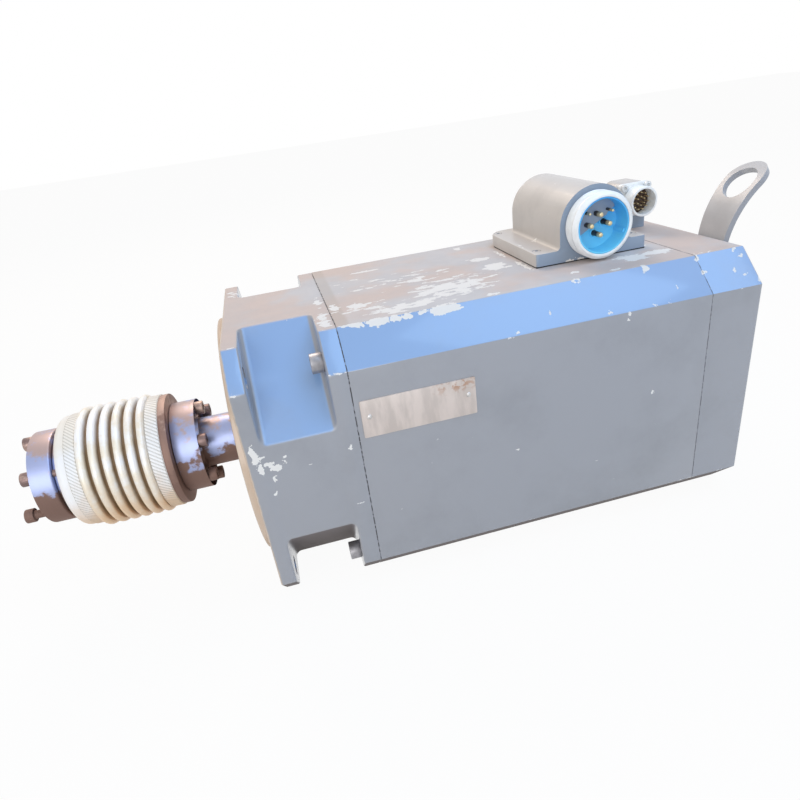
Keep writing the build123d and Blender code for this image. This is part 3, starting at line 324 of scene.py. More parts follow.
def turned(profile, steps=96, edge=0.0, segments=2, closed=True):
    """Draws an (x, radius) profile by extruding a vertex, rounds its corners and spins it about X."""
    deselect()
    start = profile[0]
    bpy.ops.mesh.primitive_plane_add(size=MM, location=(start[0], 0, start[1]))
    bpy.ops.object.transform_apply()
    obj = bpy.context.object
    bpy.ops.object.mode_set(mode="EDIT")
    bpy.ops.mesh.select_mode(type="VERT")
    bpy.ops.mesh.select_all(action="SELECT")
    bpy.ops.mesh.merge(type="CENTER")
    for here, there in zip(profile, profile[1:]):
        step = (there[0] - here[0], 0, there[1] - here[1])
        bpy.ops.mesh.extrude_vertices_move(TRANSFORM_OT_translate={"value": step})
    mesh = bmesh.from_edit_mesh(obj.data)
    if closed:
        mesh.verts.ensure_lookup_table()
        for vertex in mesh.verts:
            vertex.select_set(False)
        mesh.verts[0].select_set(True)
        mesh.verts[-1].select_set(True)
        bmesh.update_edit_mesh(obj.data)
        bpy.ops.mesh.edge_face_add()
    if edge:
        mesh = bmesh.from_edit_mesh(obj.data)
        for vertex in mesh.verts:
            vertex.select_set(len(vertex.link_edges) == 2)
        bmesh.update_edit_mesh(obj.data)
        bpy.ops.mesh.bevel(offset=edge, segments=segments, affect="VERTICES", clamp_overlap=True)
    bpy.ops.mesh.select_all(action="SELECT")
    bpy.ops.mesh.spin(steps=steps, angle=2 * pi, center=(0, 0, 0), axis=(1, 0, 0))
    bpy.ops.mesh.select_all(action="SELECT")
    bpy.ops.mesh.remove_doubles(threshold=MM / 1000)
    bpy.ops.mesh.normals_make_consistent(inside=False)
    deselect()
    return obj


def stand(obj, matrix):
    """Moves a mesh to its place for good."""
    choose(obj)
    obj.matrix_world = matrix
    bpy.ops.object.transform_apply()
    return obj


def facing_y(origin):
    """Turns what was made along +X so that it points along +Y from the origin given."""
    return Matrix.Translation(origin) @ Matrix.Rotation(pi / 2, 4, "Z")


def pin_matrices(axis, out, degrees):
    """Places round an axis along Y for pieces made along +X, one for each angle."""
    return [facing_y((axis.x + out * cos(radians(turn)), 0, axis.z + out * sin(radians(turn))))
            for turn in degrees]


def finish(obj, name, body, slot, material, *nodes, smooth=40):
    """Names a piece, shades it, gives it its material and ties it to the frame."""
    choose(obj)
    obj.name = name
    obj.data.name = name
    obj.data.materials.clear()
    obj.data.materials.append(material)
    bpy.ops.object.shade_smooth_by_angle(angle=radians(smooth))
    if body:
        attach(obj, body)
    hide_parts(*nodes)
    return obj


def give(material, *nodes):
    """Puts a material on CAD nodes that stay as they are."""
    for name in nodes:
        slots = frame["nodes"][name].data.materials
        slots.clear()
        slots.append(material)


groups = {}


class Shader:
    """A node tree with short calls to add and join nodes."""

    def __init__(self, tree):
        self.tree = tree

    def add(self, kind, inputs=None, **settings):
        """Adds a node; an input may be a value or another node's socket."""
        node = self.tree.nodes.new(kind)
        for key, value in settings.items():
            setattr(node, key, value)
        for key, value in (inputs or {}).items():
            self.feed(node.inputs[key], value)
        return node

    def feed(self, socket, value):
        """Links a socket to another node's socket, or gives it a value."""
        if isinstance(value, bpy.types.NodeSocket):
            self.tree.links.new(value, socket)
        elif socket.type == "RGBA" and len(value) == 3:
            socket.default_value = (*value, 1.0)
        else:
            socket.default_value = value

    def math(self, operation, *values, clamp=False):
        """A Math node's result."""
        inputs = dict(enumerate(values))
        return self.add("ShaderNodeMath", inputs, operation=operation, use_clamp=clamp).outputs[0]

    def plus(self, first, second):
        """The sum of two values."""
        return self.math("ADD", first, second)

    def minus(self, first, second):
        """The difference of two values."""
        return self.math("SUBTRACT", first, second)

    def times(self, first, second):
        """The product of two values."""
        return self.math("MULTIPLY", first, second)

    def swing(self, noise, amount):
        """A noise spread evenly to both sides of 0 by half the amount."""
        return self.times(self.minus(noise, 0.5), amount)

    def axis(self, coordinates, letter):
        """One coordinate of a vector."""
        return self.add("ShaderNodeSeparateXYZ", {0: coordinates}).outputs[letter]

    def facing(self, direction, low, high):
        """How squarely a face looks along a direction: 0 below the low share, 1 above the high."""
        return self.group(facing_group, Direction=direction, From=low, To=high)["Mask"]

    def cluster(self, coordinates, centre, radii):
        """How near a point is to a place: 1 in the middle, 0 outside the radii."""
        return self.group(chip_cluster_group, Vector=coordinates, Centre=centre, Radii=radii)["Push"]

    def vector(self, operation, *values):
        """A Vector Math node, for its Vector or Value output."""
        return self.add("ShaderNodeVectorMath", dict(enumerate(values)), operation=operation)

    def mix(self, factor, first, second):
        """A colour between two others."""
        inputs = {0: factor, 6: first, 7: second}
        return self.add("ShaderNodeMix", inputs, data_type="RGBA").outputs[2]

    def ramp(self, value, low, high, to_low=0.0, to_high=1.0):
        """Maps a range of values to another, without overshoot."""
        inputs = {"Value": value, "From Min": low, "From Max": high, "To Min": to_low, "To Max": to_high}
        return self.add("ShaderNodeMapRange", inputs, interpolation_type="SMOOTHSTEP").outputs[0]

    def noise(self, vector, scale, detail=4.0, roughness=0.5):
        """Noise between 0 and 1."""
        inputs = {"Vector": vector, "Scale": scale, "Detail": detail, "Roughness": roughness}
        return self.add("ShaderNodeTexNoise", inputs).outputs[0]

    def group(self, make, **inputs):
        """The node group that make() builds, built once, with its inputs set here, for its outputs."""
        if make.__name__ not in groups:
            groups[make.__name__] = make()
        node = self.add("ShaderNodeGroup", node_tree=groups[make.__name__])
        for key, value in inputs.items():
            self.feed(node.inputs[key.replace("_", " ")], value)
        return node.outputs


def new_group(name, inputs, outputs):
    """A node group with named sockets: (shader, its input sockets, its output node's inputs)."""
    tree = bpy.data.node_groups.new(name, "ShaderNodeTree")
    for label, kind in inputs:
        tree.interface.new_socket(name=label, in_out="INPUT", socket_type=kind)
    for label, kind in outputs:
        tree.interface.new_socket(name=label, in_out="OUTPUT", socket_type=kind)
    entry = tree.nodes.new("NodeGroupInput")
    leave = tree.nodes.new("NodeGroupOutput")
    return Shader(tree), entry.outputs, leave.inputs


FLOAT = "NodeSocketFloat"
VECTOR = "NodeSocketVector"


def chip_cluster_group():
    """How strongly chips gather round a place: 1 in the middle, 0 outside the radii."""
    shader, given, result = new_group(
        "Chip cluster",
        [("Vector", VECTOR), ("Centre", VECTOR), ("Radii", VECTOR)],
        [("Push", FLOAT)],
    )
    offset = shader.vector("SUBTRACT", given["Vector"], given["Centre"]).outputs[0]
    scaled = shader.vector("DIVIDE", offset, given["Radii"]).outputs[0]
    distance = shader.vector("LENGTH", scaled).outputs["Value"]
    shader.tree.links.new(shader.math("SUBTRACT", 1.0, distance, clamp=True), result["Push"])
    return shader.tree


def octagon_edge_group():
    """How near a point is to the body's long edges: 1 on an edge, 0 a given width away."""
    shader, given, result = new_group(
        "Long edges",
        [("Vector", VECTOR), ("Half width", FLOAT), ("Leg", FLOAT), ("Reach", FLOAT)],
        [("Nearness", FLOAT)],
    )
    parts = shader.add("ShaderNodeSeparateXYZ", {0: given["Vector"]}).outputs
    across = shader.math("ABSOLUTE", parts["Y"])
    up = shader.math("ABSOLUTE", parts["Z"])
    inner = shader.minus(given["Half width"], given["Leg"])
    distances = []
    for first, second in ((across, up), (up, across)):
        to_side = shader.minus(first, given["Half width"])
        to_corner = shader.minus(second, inner)
        squares = shader.plus(shader.times(to_side, to_side),
                              shader.times(to_corner, to_corner))
        distances.append(shader.math("SQRT", squares))
    nearest = shader.math("MINIMUM", *distances)
    share = shader.math("DIVIDE", nearest, given["Reach"])
    shader.tree.links.new(shader.math("SUBTRACT", 1.0, share, clamp=True), result["Nearness"])
    return shader.tree


def facing_group():
    """How squarely a face looks along a direction: 0 below one share of that, 1 above the other."""
    shader, given, result = new_group(
        "Facing",
        [("Direction", VECTOR), ("From", FLOAT), ("To", FLOAT)],
        [("Mask", FLOAT)],
    )
    normal = shader.add("ShaderNodeNewGeometry").outputs["Normal"]
    share = shader.vector("DOT_PRODUCT", normal, given["Direction"]).outputs["Value"]
    shader.tree.links.new(shader.ramp(share, given["From"], given["To"]), result["Mask"])
    return shader.tree


def dust_group():
    """How much dust lies on a face: more where it looks up, broken by a slow noise."""
    shader, given, result = new_group(
        "Settled dust",
        [("Vector", VECTOR), ("Scale", FLOAT), ("Amount", FLOAT)],
        [("Mask", FLOAT)],
    )
    facing = shader.facing((0.0, 0.0, 1.0), 0.76, 0.98)
    patches = shader.ramp(shader.noise(given["Vector"], given["Scale"], 5.0, 0.6), 0.30, 0.62, 0.72, 1.0)
    amount = shader.times(shader.times(facing, patches), given["Amount"])
    shader.tree.links.new(amount, result["Mask"])
    return shader.tree


def round_shaft_group():
    """Where a point lies round the shaft: its radius, and its height from -1 under it to 1 over it."""
    shader, given, result = new_group(
        "Round the shaft",
        [("Vector", VECTOR)],
        [("Radius", FLOAT), ("Height", FLOAT)],
    )
    flat = shader.vector("MULTIPLY", given["Vector"], (0.0, 1.0, 1.0)).outputs[0]
    radius = shader.vector("LENGTH", flat).outputs["Value"]
    up = shader.axis(flat, "Z")
    shader.tree.links.new(radius, result["Radius"])
    shader.tree.links.new(shader.math("DIVIDE", up, radius), result["Height"])
    return shader.tree


def grain_group():
    """Fine surface relief for a Bump node: slow waves under a fine grain."""
    shader, given, result = new_group(
        "Surface grain",
        [("Vector", VECTOR), ("Wave scale", FLOAT), ("Grain scale", FLOAT), ("Grain share", FLOAT)],
        [("Height", FLOAT), ("Tone", FLOAT)],
    )
    wave = shader.noise(given["Vector"], given["Wave scale"], 3.0, 0.5)
    grain = shader.noise(given["Vector"], given["Grain scale"], 2.0, 0.6)
    fine = shader.times(grain, given["Grain share"])
    shader.tree.links.new(shader.plus(wave, fine), result["Height"])
    shader.tree.links.new(wave, result["Tone"])
    return shader.tree


def new_material(name, **constants):
    """A material: its shader tree, its surface node and its Object coordinates."""
    material = bpy.data.materials.new(name)
    material.use_nodes = True
    material.node_tree.nodes.clear()
    shader = Shader(material.node_tree)
    surface = shader.add("ShaderNodeBsdfPrincipled")
    output = shader.add("ShaderNodeOutputMaterial")
    material.node_tree.links.new(surface.outputs[0], output.inputs["Surface"])
    for key, value in constants.items():
        surface.inputs[key.replace("_", " ")].default_value = value
    coordinates = shader.add("ShaderNodeTexCoord").outputs["Object"]
    return material, shader, surface.inputs, coordinates


def relief(shader, sockets, height, strength, distance):
    """Joins a height to the surface's normal through a Bump node."""
    bump = shader.add("ShaderNodeBump", {"Height": height, "Strength": strength, "Distance": distance})
    shader.tree.links.new(bump.outputs[0], sockets["Normal"])


def connect(shader, sockets, **values):
    """Joins results to the surface's sockets by name."""
    for key, value in values.items():
        shader.tree.links.new(value, sockets[key.replace("_", " ")])


# Painted shade in the lower corner pocket at the front, brown as a painted reflection of the ground: its
# place and how far it reaches
POCKET_SHADE_PLACE = (-0.036, 0.078, -0.080)
POCKET_SHADE_RADII = (0.026, 0.0155, 0.030)

# Places where the paint is chipped through, in millimetres on each face: place, radii, density
CHIP_FIELDS = (
    ((-158, 38, 96), (56, 40, 20), 0.36),
    ((-124, 60, 96), (48, 20, 20), 0.36),
    ((-95, 46, 96), (26, 20, 20), 0.31),
    ((-146, 4, 96), (44, 34, 20), 0.26),
    ((-112, -8, 96), (52, 46, 20), 0.20),
    ((-120, 74, 96), (50, 3, 3), 0.20),
    ((-332, 73, 96), (34, 3, 3), 0.24),
    ((-66, 54, 96), (8, 28, 12), 0.38),
    ((-67, 12, 96), (5, 32, 12), 0.28),
    ((-38, 37, 96), (34, 3, 3), 0.24),
    ((-8, -52, 96), (12, 24, 20), 0.26),
    ((-6, 74, 96), (12, 3, 3), 0.28),
    ((-5, 96, 74), (12, 3, 3), 0.26),
)
TOP_CHIPS = (
    (-111, -45, 22, 3), (-90, 39, 8, 11), (-76, 37, 6, 14), (-105, 59, 12, 5), (-202, 11, 15, 16),
    (-199, -17, 12, 8), (-197, -62, 5, 7), (-177, 71, 8, 4), (-219, -20, 2.5, 18), (-220, 22, 2.5, 24),
    (-288, 53, 20, 13), (-309, 50, 18, 9), (-310, 28, 7, 5), (-241, 60, 6, 4), (-264, 71, 8, 3),
)
EDGE_CHIPS = (
    (-86, 7, 3), (-97, 12, 6), (-110, 6, 4), (-117, 7, 4), (-127, 6, 3), (-143, 15, 6), (-284, 3, 6),
    (-323, 3, 4), (-352, 5, 3), (-233, 5, 3),
)
SLOPE_CHIPS = (
    (-208, 88, 2), (-248, 94, 2.2), (-290, 95, 2), (-280, 95, 2), (-183, 95, 2), (-323, 84, 2.8),
    (-355, 79, 3.5), (-352, 90, 3.5), (-361, 93, 3.5), (-346, 86, 2.4), (-300, 88, 2),
)
SIDE_CHIPS = (
    (-65.6, 21.9, 3.2, 3.2), (-282, 11, 1.8, 1.8), (-260, 69, 2.4, 2.4), (-261, 73, 2, 2),
    (-5, 36, 3, 7), (-6, 28, 4.5, 7), (-8, 21, 3, 8), (-14, 24, 4, 4), (-18, 20, 6, 4.5),
    (-23, 24, 4, 5), (-10.5, 29, 4, 2), (-15, 13, 2, 4), (-13, 2, 2.4, 2.4), (-32, -84, 2.4, 2.4),
)


def chip_push(shader, coordinates, entries):
    """The strongest push of a list of chipped places: (centre, radii, density), in millimetres."""
    wander = shader.add("ShaderNodeTexNoise", {"Vector": coordinates, "Scale": 330.0, "Detail": 3.0})
    offset = shader.vector("SUBTRACT", wander.outputs["Color"], (0.5, 0.5, 0.5)).outputs[0]
    ragged = shader.add("ShaderNodeVectorMath", {0: offset, "Scale": 7 * MM}, operation="SCALE")
    moved = shader.vector("ADD", coordinates, ragged.outputs[0]).outputs[0]
    push = 0.0
    for centre, radii, density in entries:
        near = shader.cluster(moved, Vector(centre) * MM, Vector(radii) * MM)
        push = shader.math("MAXIMUM", push, shader.times(near, density))
    return push


def body_chips():
    """Every chipped place of the body, with single chips laid on the face that they belong to."""
    half = HOUSING_HIGH.y / MM
    slope = 2 * half - CORNER_LEG / MM
    single = 0.55
    entries = list(CHIP_FIELDS)
    entries += [((x, y, half), (long, wide, 10), single) for x, y, long, wide in TOP_CHIPS]
    entries += [((x, slope - half + 1, half - 1), (long, wide, wide), single)
                for x, long, wide in EDGE_CHIPS]
    entries += [((x, y, slope - y), (size, size, size), single) for x, y, size in SLOPE_CHIPS]
    entries += [((x, half, z), (long, 5, high), single) for x, z, long, high in SIDE_CHIPS]
    return entries


def slant_mask(shader):
    """1 on the upper slanting faces of the body, 0 on its flat sides."""
    masks = [shader.facing((0.0, way * sin(pi / 4), sin(pi / 4)), 0.86, 0.985) for way in (-1, 1)]
    return shader.math("MAXIMUM", *masks)


def paint_material(colours):
    """Blue-grey enamel: stained, dusty on top, chipped to a pale primer, dark in the seams, with a
    painted sky reflection on the upper slanting faces and painted shade on faces that look down.
    """
    material, shader, sockets, coordinates = new_material(
        "housing_enamel", Coat_Roughness=0.10, IOR=1.5)
    tone = shader.group(grain_group, Vector=coordinates, Wave_scale=9.0, Grain_scale=900.0,
                        Grain_share=0.08)
    stains = shader.ramp(shader.noise(coordinates, 11.0, 8.0, 0.62), 0.44, 0.72, 0.0, 0.7)
    base = shader.mix(stains, colours.paint, colours.paint_dark)
    # The upper slanting faces take a bluer colour: a painted reflection of the blue sky, weaker where
    # the enamel is stained
    slant = shader.times(slant_mask(shader), shader.ramp(stains, 0.0, 1.0, 1.0, 0.75))
    with_painted_sky_reflection = shader.mix(slant, base, colours.painted_sky_sheen)
    # Faces that look down and the lower front pocket turn brown: painted shade and a painted reflection
    # of the ground, with grime on the underside
    under = shader.facing((0.0, 0.0, -1.0), 0.25, 0.70)
    pocket = shader.cluster(coordinates, POCKET_SHADE_PLACE, POCKET_SHADE_RADII)
    shade_and_grime_mask = shader.math("MAXIMUM", under, shader.ramp(pocket, 0.02, 0.25))
    with_shade_below = shader.mix(shader.times(shade_and_grime_mask, 0.85), with_painted_sky_reflection, colours.dirt_and_shade)
    dust = shader.group(dust_group, Vector=coordinates, Scale=16.0, Amount=0.95)["Mask"]
    dust_tone = shader.mix(shader.ramp(shader.noise(coordinates, 13.0, 4.0, 0.55), 0.42, 0.60),
                           colours.dust, colours.dust_grey)
    dusty = shader.mix(dust, with_shade_below, dust_tone)
    along = shader.axis(coordinates, "X")
    band = shader.ramp(shader.math("ABSOLUTE", shader.minus(along, HOUSING_HIGH.x - 4 * MM)),
                       0.003, 0.006, 0.38, 0.0)
    banded = shader.mix(shader.times(band, dust), dusty, (0.42, 0.36, 0.30))
    streaked = shader.add("ShaderNodeMapping", {"Vector": coordinates, "Scale": (0.42, 1.0, 1.0)})
    flakes = shader.noise(streaked.outputs[0], 165.0, 6.0, 0.62)
    edges = shader.group(octagon_edge_group, Vector=coordinates, Half_width=HOUSING_HIGH.y,
                         Leg=CORNER_LEG, Reach=0.0022)["Nearness"]
    push = shader.math("MAXIMUM", shader.times(edges, 0.12),
                       chip_push(shader, coordinates, body_chips()))
    chips = shader.ramp(shader.plus(flakes, push), 0.722, 0.738)
    chipped = shader.mix(chips, banded, colours.primer)
    grime = 0.0
    broken = shader.ramp(shader.noise(coordinates, 420.0, 2.0), 0.40, 0.52)
    for seam, depth in ((HOUSING_HIGH.x, 0.9), (HOUSING_LOW.x, 0.45)):
        gap = shader.math("ABSOLUTE", shader.minus(along, seam))
        grime = shader.math("MAXIMUM", grime, shader.ramp(gap, 0.00015, 0.00060, depth, 0.0))
    seamed = shader.mix(shader.times(grime, broken), chipped, (0.03, 0.03, 0.035))
    bare = shader.ramp(shader.plus(along, shader.times(flakes, 0.0016)), -0.0008, 0.0006)
    finished = shader.mix(bare, seamed, colours.worn)
    matt = shader.math("MAXIMUM", shader.math("MAXIMUM", dust, chips), under)
    roughness = shader.ramp(matt, 0.0, 1.0, 0.34, 0.8)
    height = shader.minus(tone["Height"], shader.times(chips, 0.5))
    connect(shader, sockets, Base_Color=finished, Roughness=roughness,
            Coat_Weight=shader.ramp(matt, 0.0, 1.0, 0.7, 0.0))
    relief(shader, sockets, height, 0.35, 0.0003)
    return material


def small_casting_material(name, base_colour, front_colour, colours, chipped_places):
    """The enamel of the smaller castings: painted warm light on all but the front faces, which keep
    their own colour; dusty above, chipped in a few places.
    """
    material, shader, sockets, coordinates = new_material(
        name, Coat_Weight=0.35, Coat_Roughness=0.2, IOR=1.5)
    tone = shader.group(grain_group, Vector=coordinates, Wave_scale=25.0, Grain_scale=700.0,
                        Grain_share=0.25)
    stains = shader.ramp(shader.noise(coordinates, 30.0, 6.0, 0.6), 0.42, 0.7, 0.0, 0.6)
    base = shader.mix(stains, base_colour, tuple(channel * 0.82 for channel in base_colour))
    # Painted warm light by side: front faces keep the front colour, all others take the base colour,
    # which is lightened by painted warm light
    front = shader.facing((0.0, 1.0, 0.0), 0.45, 0.80)
    front_apart_from_painted_light = shader.mix(front, base, front_colour)
    dust = shader.group(dust_group, Vector=coordinates, Scale=30.0, Amount=0.45)["Mask"]
    dusty = shader.mix(dust, front_apart_from_painted_light, colours.dust_grey)
    flakes = shader.noise(coordinates, 170.0, 5.0, 0.6)
    push = chip_push(shader, coordinates, chipped_places)
    chips = shader.ramp(shader.plus(flakes, push), 0.735, 0.75)
    connect(shader, sockets, Base_Color=shader.mix(chips, dusty, colours.primer),
            Roughness=shader.ramp(chips, 0.0, 1.0, 0.42, 0.75))
    relief(shader, sockets, tone["Height"], 0.4, 0.0003)
    return material


# Chipped places of the hood and the strap, as for the body
HOOD_CHIPS = (
    ((-252, -49, 143), (13, 9, 7), 0.50),
    ((-226, 12, 106), (3, 30, 3), 0.26),
    ((-240, 0, 106), (3, 40, 3), 0.22),
    ((-268, 36, 98), (44, 4, 5), 0.22),
    ((-295, 10, 107), (8, 20, 3), 0.16),
)
STRAP_CHIPS = (
    ((-386, 27, 128), (5, 5, 7), 0.40),
    ((-372, 22, 104), (4, 4, 9), 0.30),
)


def steel_material(name, colours, base_colour, rust_start, polish):
    """Oxidised steel: its base colour above the shaft's middle, brown rust under it, dry dust on top;
    for the oxidised steel that base colour is a blue that paints in the reflection of the sky.
    """
    material, shader, sockets, coordinates = new_material(name, Metallic=0.8, IOR=1.8)
    patches = shader.noise(coordinates, 75.0, 7.0, 0.65)
    height = shader.group(round_shaft_group, Vector=coordinates)["Height"]
    lean = shader.plus(height, shader.swing(patches, 2.2))
    rust = shader.ramp(lean, rust_start - 0.12, rust_start + 0.12, 1.0, 0.0)
    # Above the shaft's middle the base colour shows; for the oxidised steel it is a painted sky
    # reflection
    base = shader.mix(rust, base_colour, colours.rust)
    dust = shader.ramp(lean, 0.66, 1.0, 0.0, 0.85)
    dusty = shader.mix(dust, base, colours.rust_dust)
    along = shader.add("ShaderNodeMapping", {"Vector": coordinates, "Scale": (1.0, 0.02, 0.02)})
    marks = shader.noise(along.outputs[0], 2500.0, 2.0, 0.5)
    roughness = shader.plus(shader.ramp(rust, 0.0, 1.0, polish, 0.68),
                            shader.times(marks, 0.10))
    relief_height = shader.plus(patches, shader.times(marks, 0.15))
    connect(shader, sockets, Base_Color=dusty, Roughness=roughness)
    relief(shader, sockets, relief_height, 0.5, 0.0002)
    return material


def ring_material(colours, crown):
    """Off-white knurled ring: grime in the grooves below the crown radius, tan at its underside."""
    material, shader, sockets, coordinates = new_material("knurled_ring", IOR=1.5)
    around = shader.group(round_shaft_group, Vector=coordinates)
    stains = shader.noise(coordinates, 40.0, 6.0, 0.6)
    lean = shader.plus(around["Height"], shader.swing(stains, 1.4))
    low = shader.ramp(lean, -0.75, 0.15, 0.85, 0.0)
    base = shader.mix(low, colours.ring, colours.tan)
    top = shader.ramp(lean, 0.62, 1.0, 0.0, 0.6)
    topped = shader.mix(top, base, colours.ivory)
    deep = shader.ramp(around["Radius"], crown - 0.45 * MM, crown - 0.15 * MM, 0.70, 0.0)
    knurled = shader.math("GREATER_THAN", around["Radius"], crown - 0.52 * MM)
    groove = shader.times(deep, knurled)
    grooved = shader.mix(groove, topped, colours.groove)
    fine = shader.noise(coordinates, 900.0, 2.0)
    connect(shader, sockets, Base_Color=grooved, Roughness=shader.ramp(fine, 0.2, 0.8, 0.42, 0.6))
    relief(shader, sockets, fine, 0.25, 0.0001)
    return material


def bellows_material(colours, root, crest):
    """Ivory tarnish on the crests, brown painted shade in the valleys, tan towards the underside, and a
    painted highlight on the upper crests.
    """
    material, shader, sockets, coordinates = new_material("bellows_tarnish", Metallic=0.2, IOR=1.5)
    around = shader.group(round_shaft_group, Vector=coordinates)
    streaks = shader.noise(coordinates, 45.0, 6.0, 0.65)
    shifted = shader.plus(around["Radius"], shader.swing(streaks, 0.004))
    # Darker towards the valleys: painted shade in the recesses between the crests
    out_of_valley_shade = shader.ramp(shifted, root, crest - 0.0016)
    lean = shader.plus(around["Height"], shader.swing(streaks, 1.4))
    crests = shader.mix(shader.ramp(lean, -0.7, 0.25, 0.9, 0.0), colours.ivory, colours.tan)
    # A painted highlight: patches of a paler colour on the upper side of the crests
    pale = shader.times(shader.ramp(streaks, 0.40, 0.60), shader.ramp(lean, -0.2, 0.4))
    with_painted_highlight = shader.mix(pale, crests, colours.ring)
    base = shader.mix(out_of_valley_shade, colours.valley_shade, with_painted_highlight)
    connect(shader, sockets, Base_Color=base, Roughness=shader.ramp(out_of_valley_shade, 0.0, 1.0, 0.7, 0.40))
    relief(shader, sockets, shader.noise(coordinates, 300.0, 4.0, 0.6), 0.25, 0.0002)
    return material


def blue_material(colours, low, high):
    """Blue moulding, paler towards the bottom of the cup and deeper blue higher up: painted light that
    falls from above onto the lower inside.
    """
    material, shader, sockets, coordinates = new_material("blue_moulding", IOR=1.5)
    up = shader.axis(coordinates, "Z")
    cloud = shader.noise(coordinates, 90.0, 3.0)
    # Painted light: paler blue low in the cup, deeper blue higher up
    share = shader.ramp(shader.plus(up, shader.times(cloud, 0.008)), low.z, high.z + 0.008)
    pale = tuple(min(1.0, channel * 1.25 + 0.02) for channel in colours.blue)
    deep = (colours.blue[0] * 0.4, colours.blue[1] * 0.7, colours.blue[2] * 0.85)
    connect(shader, sockets, Base_Color=shader.mix(share, pale, deep),
            Roughness=shader.ramp(cloud, 0.3, 0.7, 0.30, 0.42))
    relief(shader, sockets, cloud, 0.1, 0.0001)
    return material


def simple_material(name, base_colour, roughness, scale=80.0, shade=0.7, height=0.15, **constants):
    """A finish in two tones of one colour, with a fine relief."""
    material, shader, sockets, coordinates = new_material(name, **constants)
    tone = shader.group(grain_group, Vector=coordinates, Wave_scale=scale, Grain_scale=scale * 12.0,
                        Grain_share=0.4)
    dull = tuple(channel * shade for channel in base_colour)
    base = shader.mix(shader.ramp(tone["Tone"], 0.38, 0.66), base_colour, dull)
    connect(shader, sockets, Base_Color=base,
            Roughness=shader.ramp(tone["Height"], 0.3, 1.0, roughness - 0.06, roughness + 0.08))
    relief(shader, sockets, tone["Height"], height, 0.0001)
    return material


def plate_material(colours, low, high):
    """Bare tarnished sheet: faint vertical streaks and a rusty stain in one upper corner."""
    material, shader, sockets, coordinates = new_material("nameplate_sheet", Metallic=0.35, IOR=1.5)
    stretched = shader.add("ShaderNodeMapping", {"Vector": coordinates, "Scale": (1.0, 1.0, 0.25)})
    streaks = shader.noise(stretched.outputs[0], 130.0, 6.0, 0.6)
    pale = tuple(min(1.0, channel * 1.22) for channel in colours.plate)
    base = shader.mix(shader.ramp(streaks, 0.36, 0.64), colours.plate, pale)
    corner = (low.x + 0.012, high.y, high.z - 0.003)
    near = shader.cluster(coordinates, corner, (0.02, 0.01, 0.007))
    speckle = shader.ramp(shader.noise(coordinates, 420.0, 3.0), 0.45, 0.6)
    stain = shader.math("MULTIPLY", shader.times(near, speckle), 0.9, clamp=True)
    connect(shader, sockets, Base_Color=shader.mix(stain, base, (0.42, 0.20, 0.10)),
            Roughness=shader.ramp(streaks, 0.3, 0.7, 0.38, 0.58))
    relief(shader, sockets, streaks, 0.2, 0.0002)
    return material


def pin_material(colours, along_from, along_to):
    """Contact pins: gilt worn tips, darkened by painted shade towards where they leave the insert, deep
    in the cup.
    """
    material, shader, sockets, coordinates = new_material("contact_pin", Metallic=0.6, IOR=1.6)
    y = shader.axis(coordinates, "Y")
    worn = shader.noise(coordinates, 500.0, 3.0)
    # Painted shade: the pins darken from their tips down into the cup
    tip_out_of_shade = shader.ramp(shader.plus(y, shader.times(worn, 0.001)), along_from, along_to)
    connect(shader, sockets, Base_Color=shader.mix(tip_out_of_shade, (0.06, 0.05, 0.045), colours.gilt),
            Roughness=shader.ramp(worn, 0.3, 0.7, 0.28, 0.45))
    relief(shader, sockets, worn, 0.1, 0.0001)
    return material


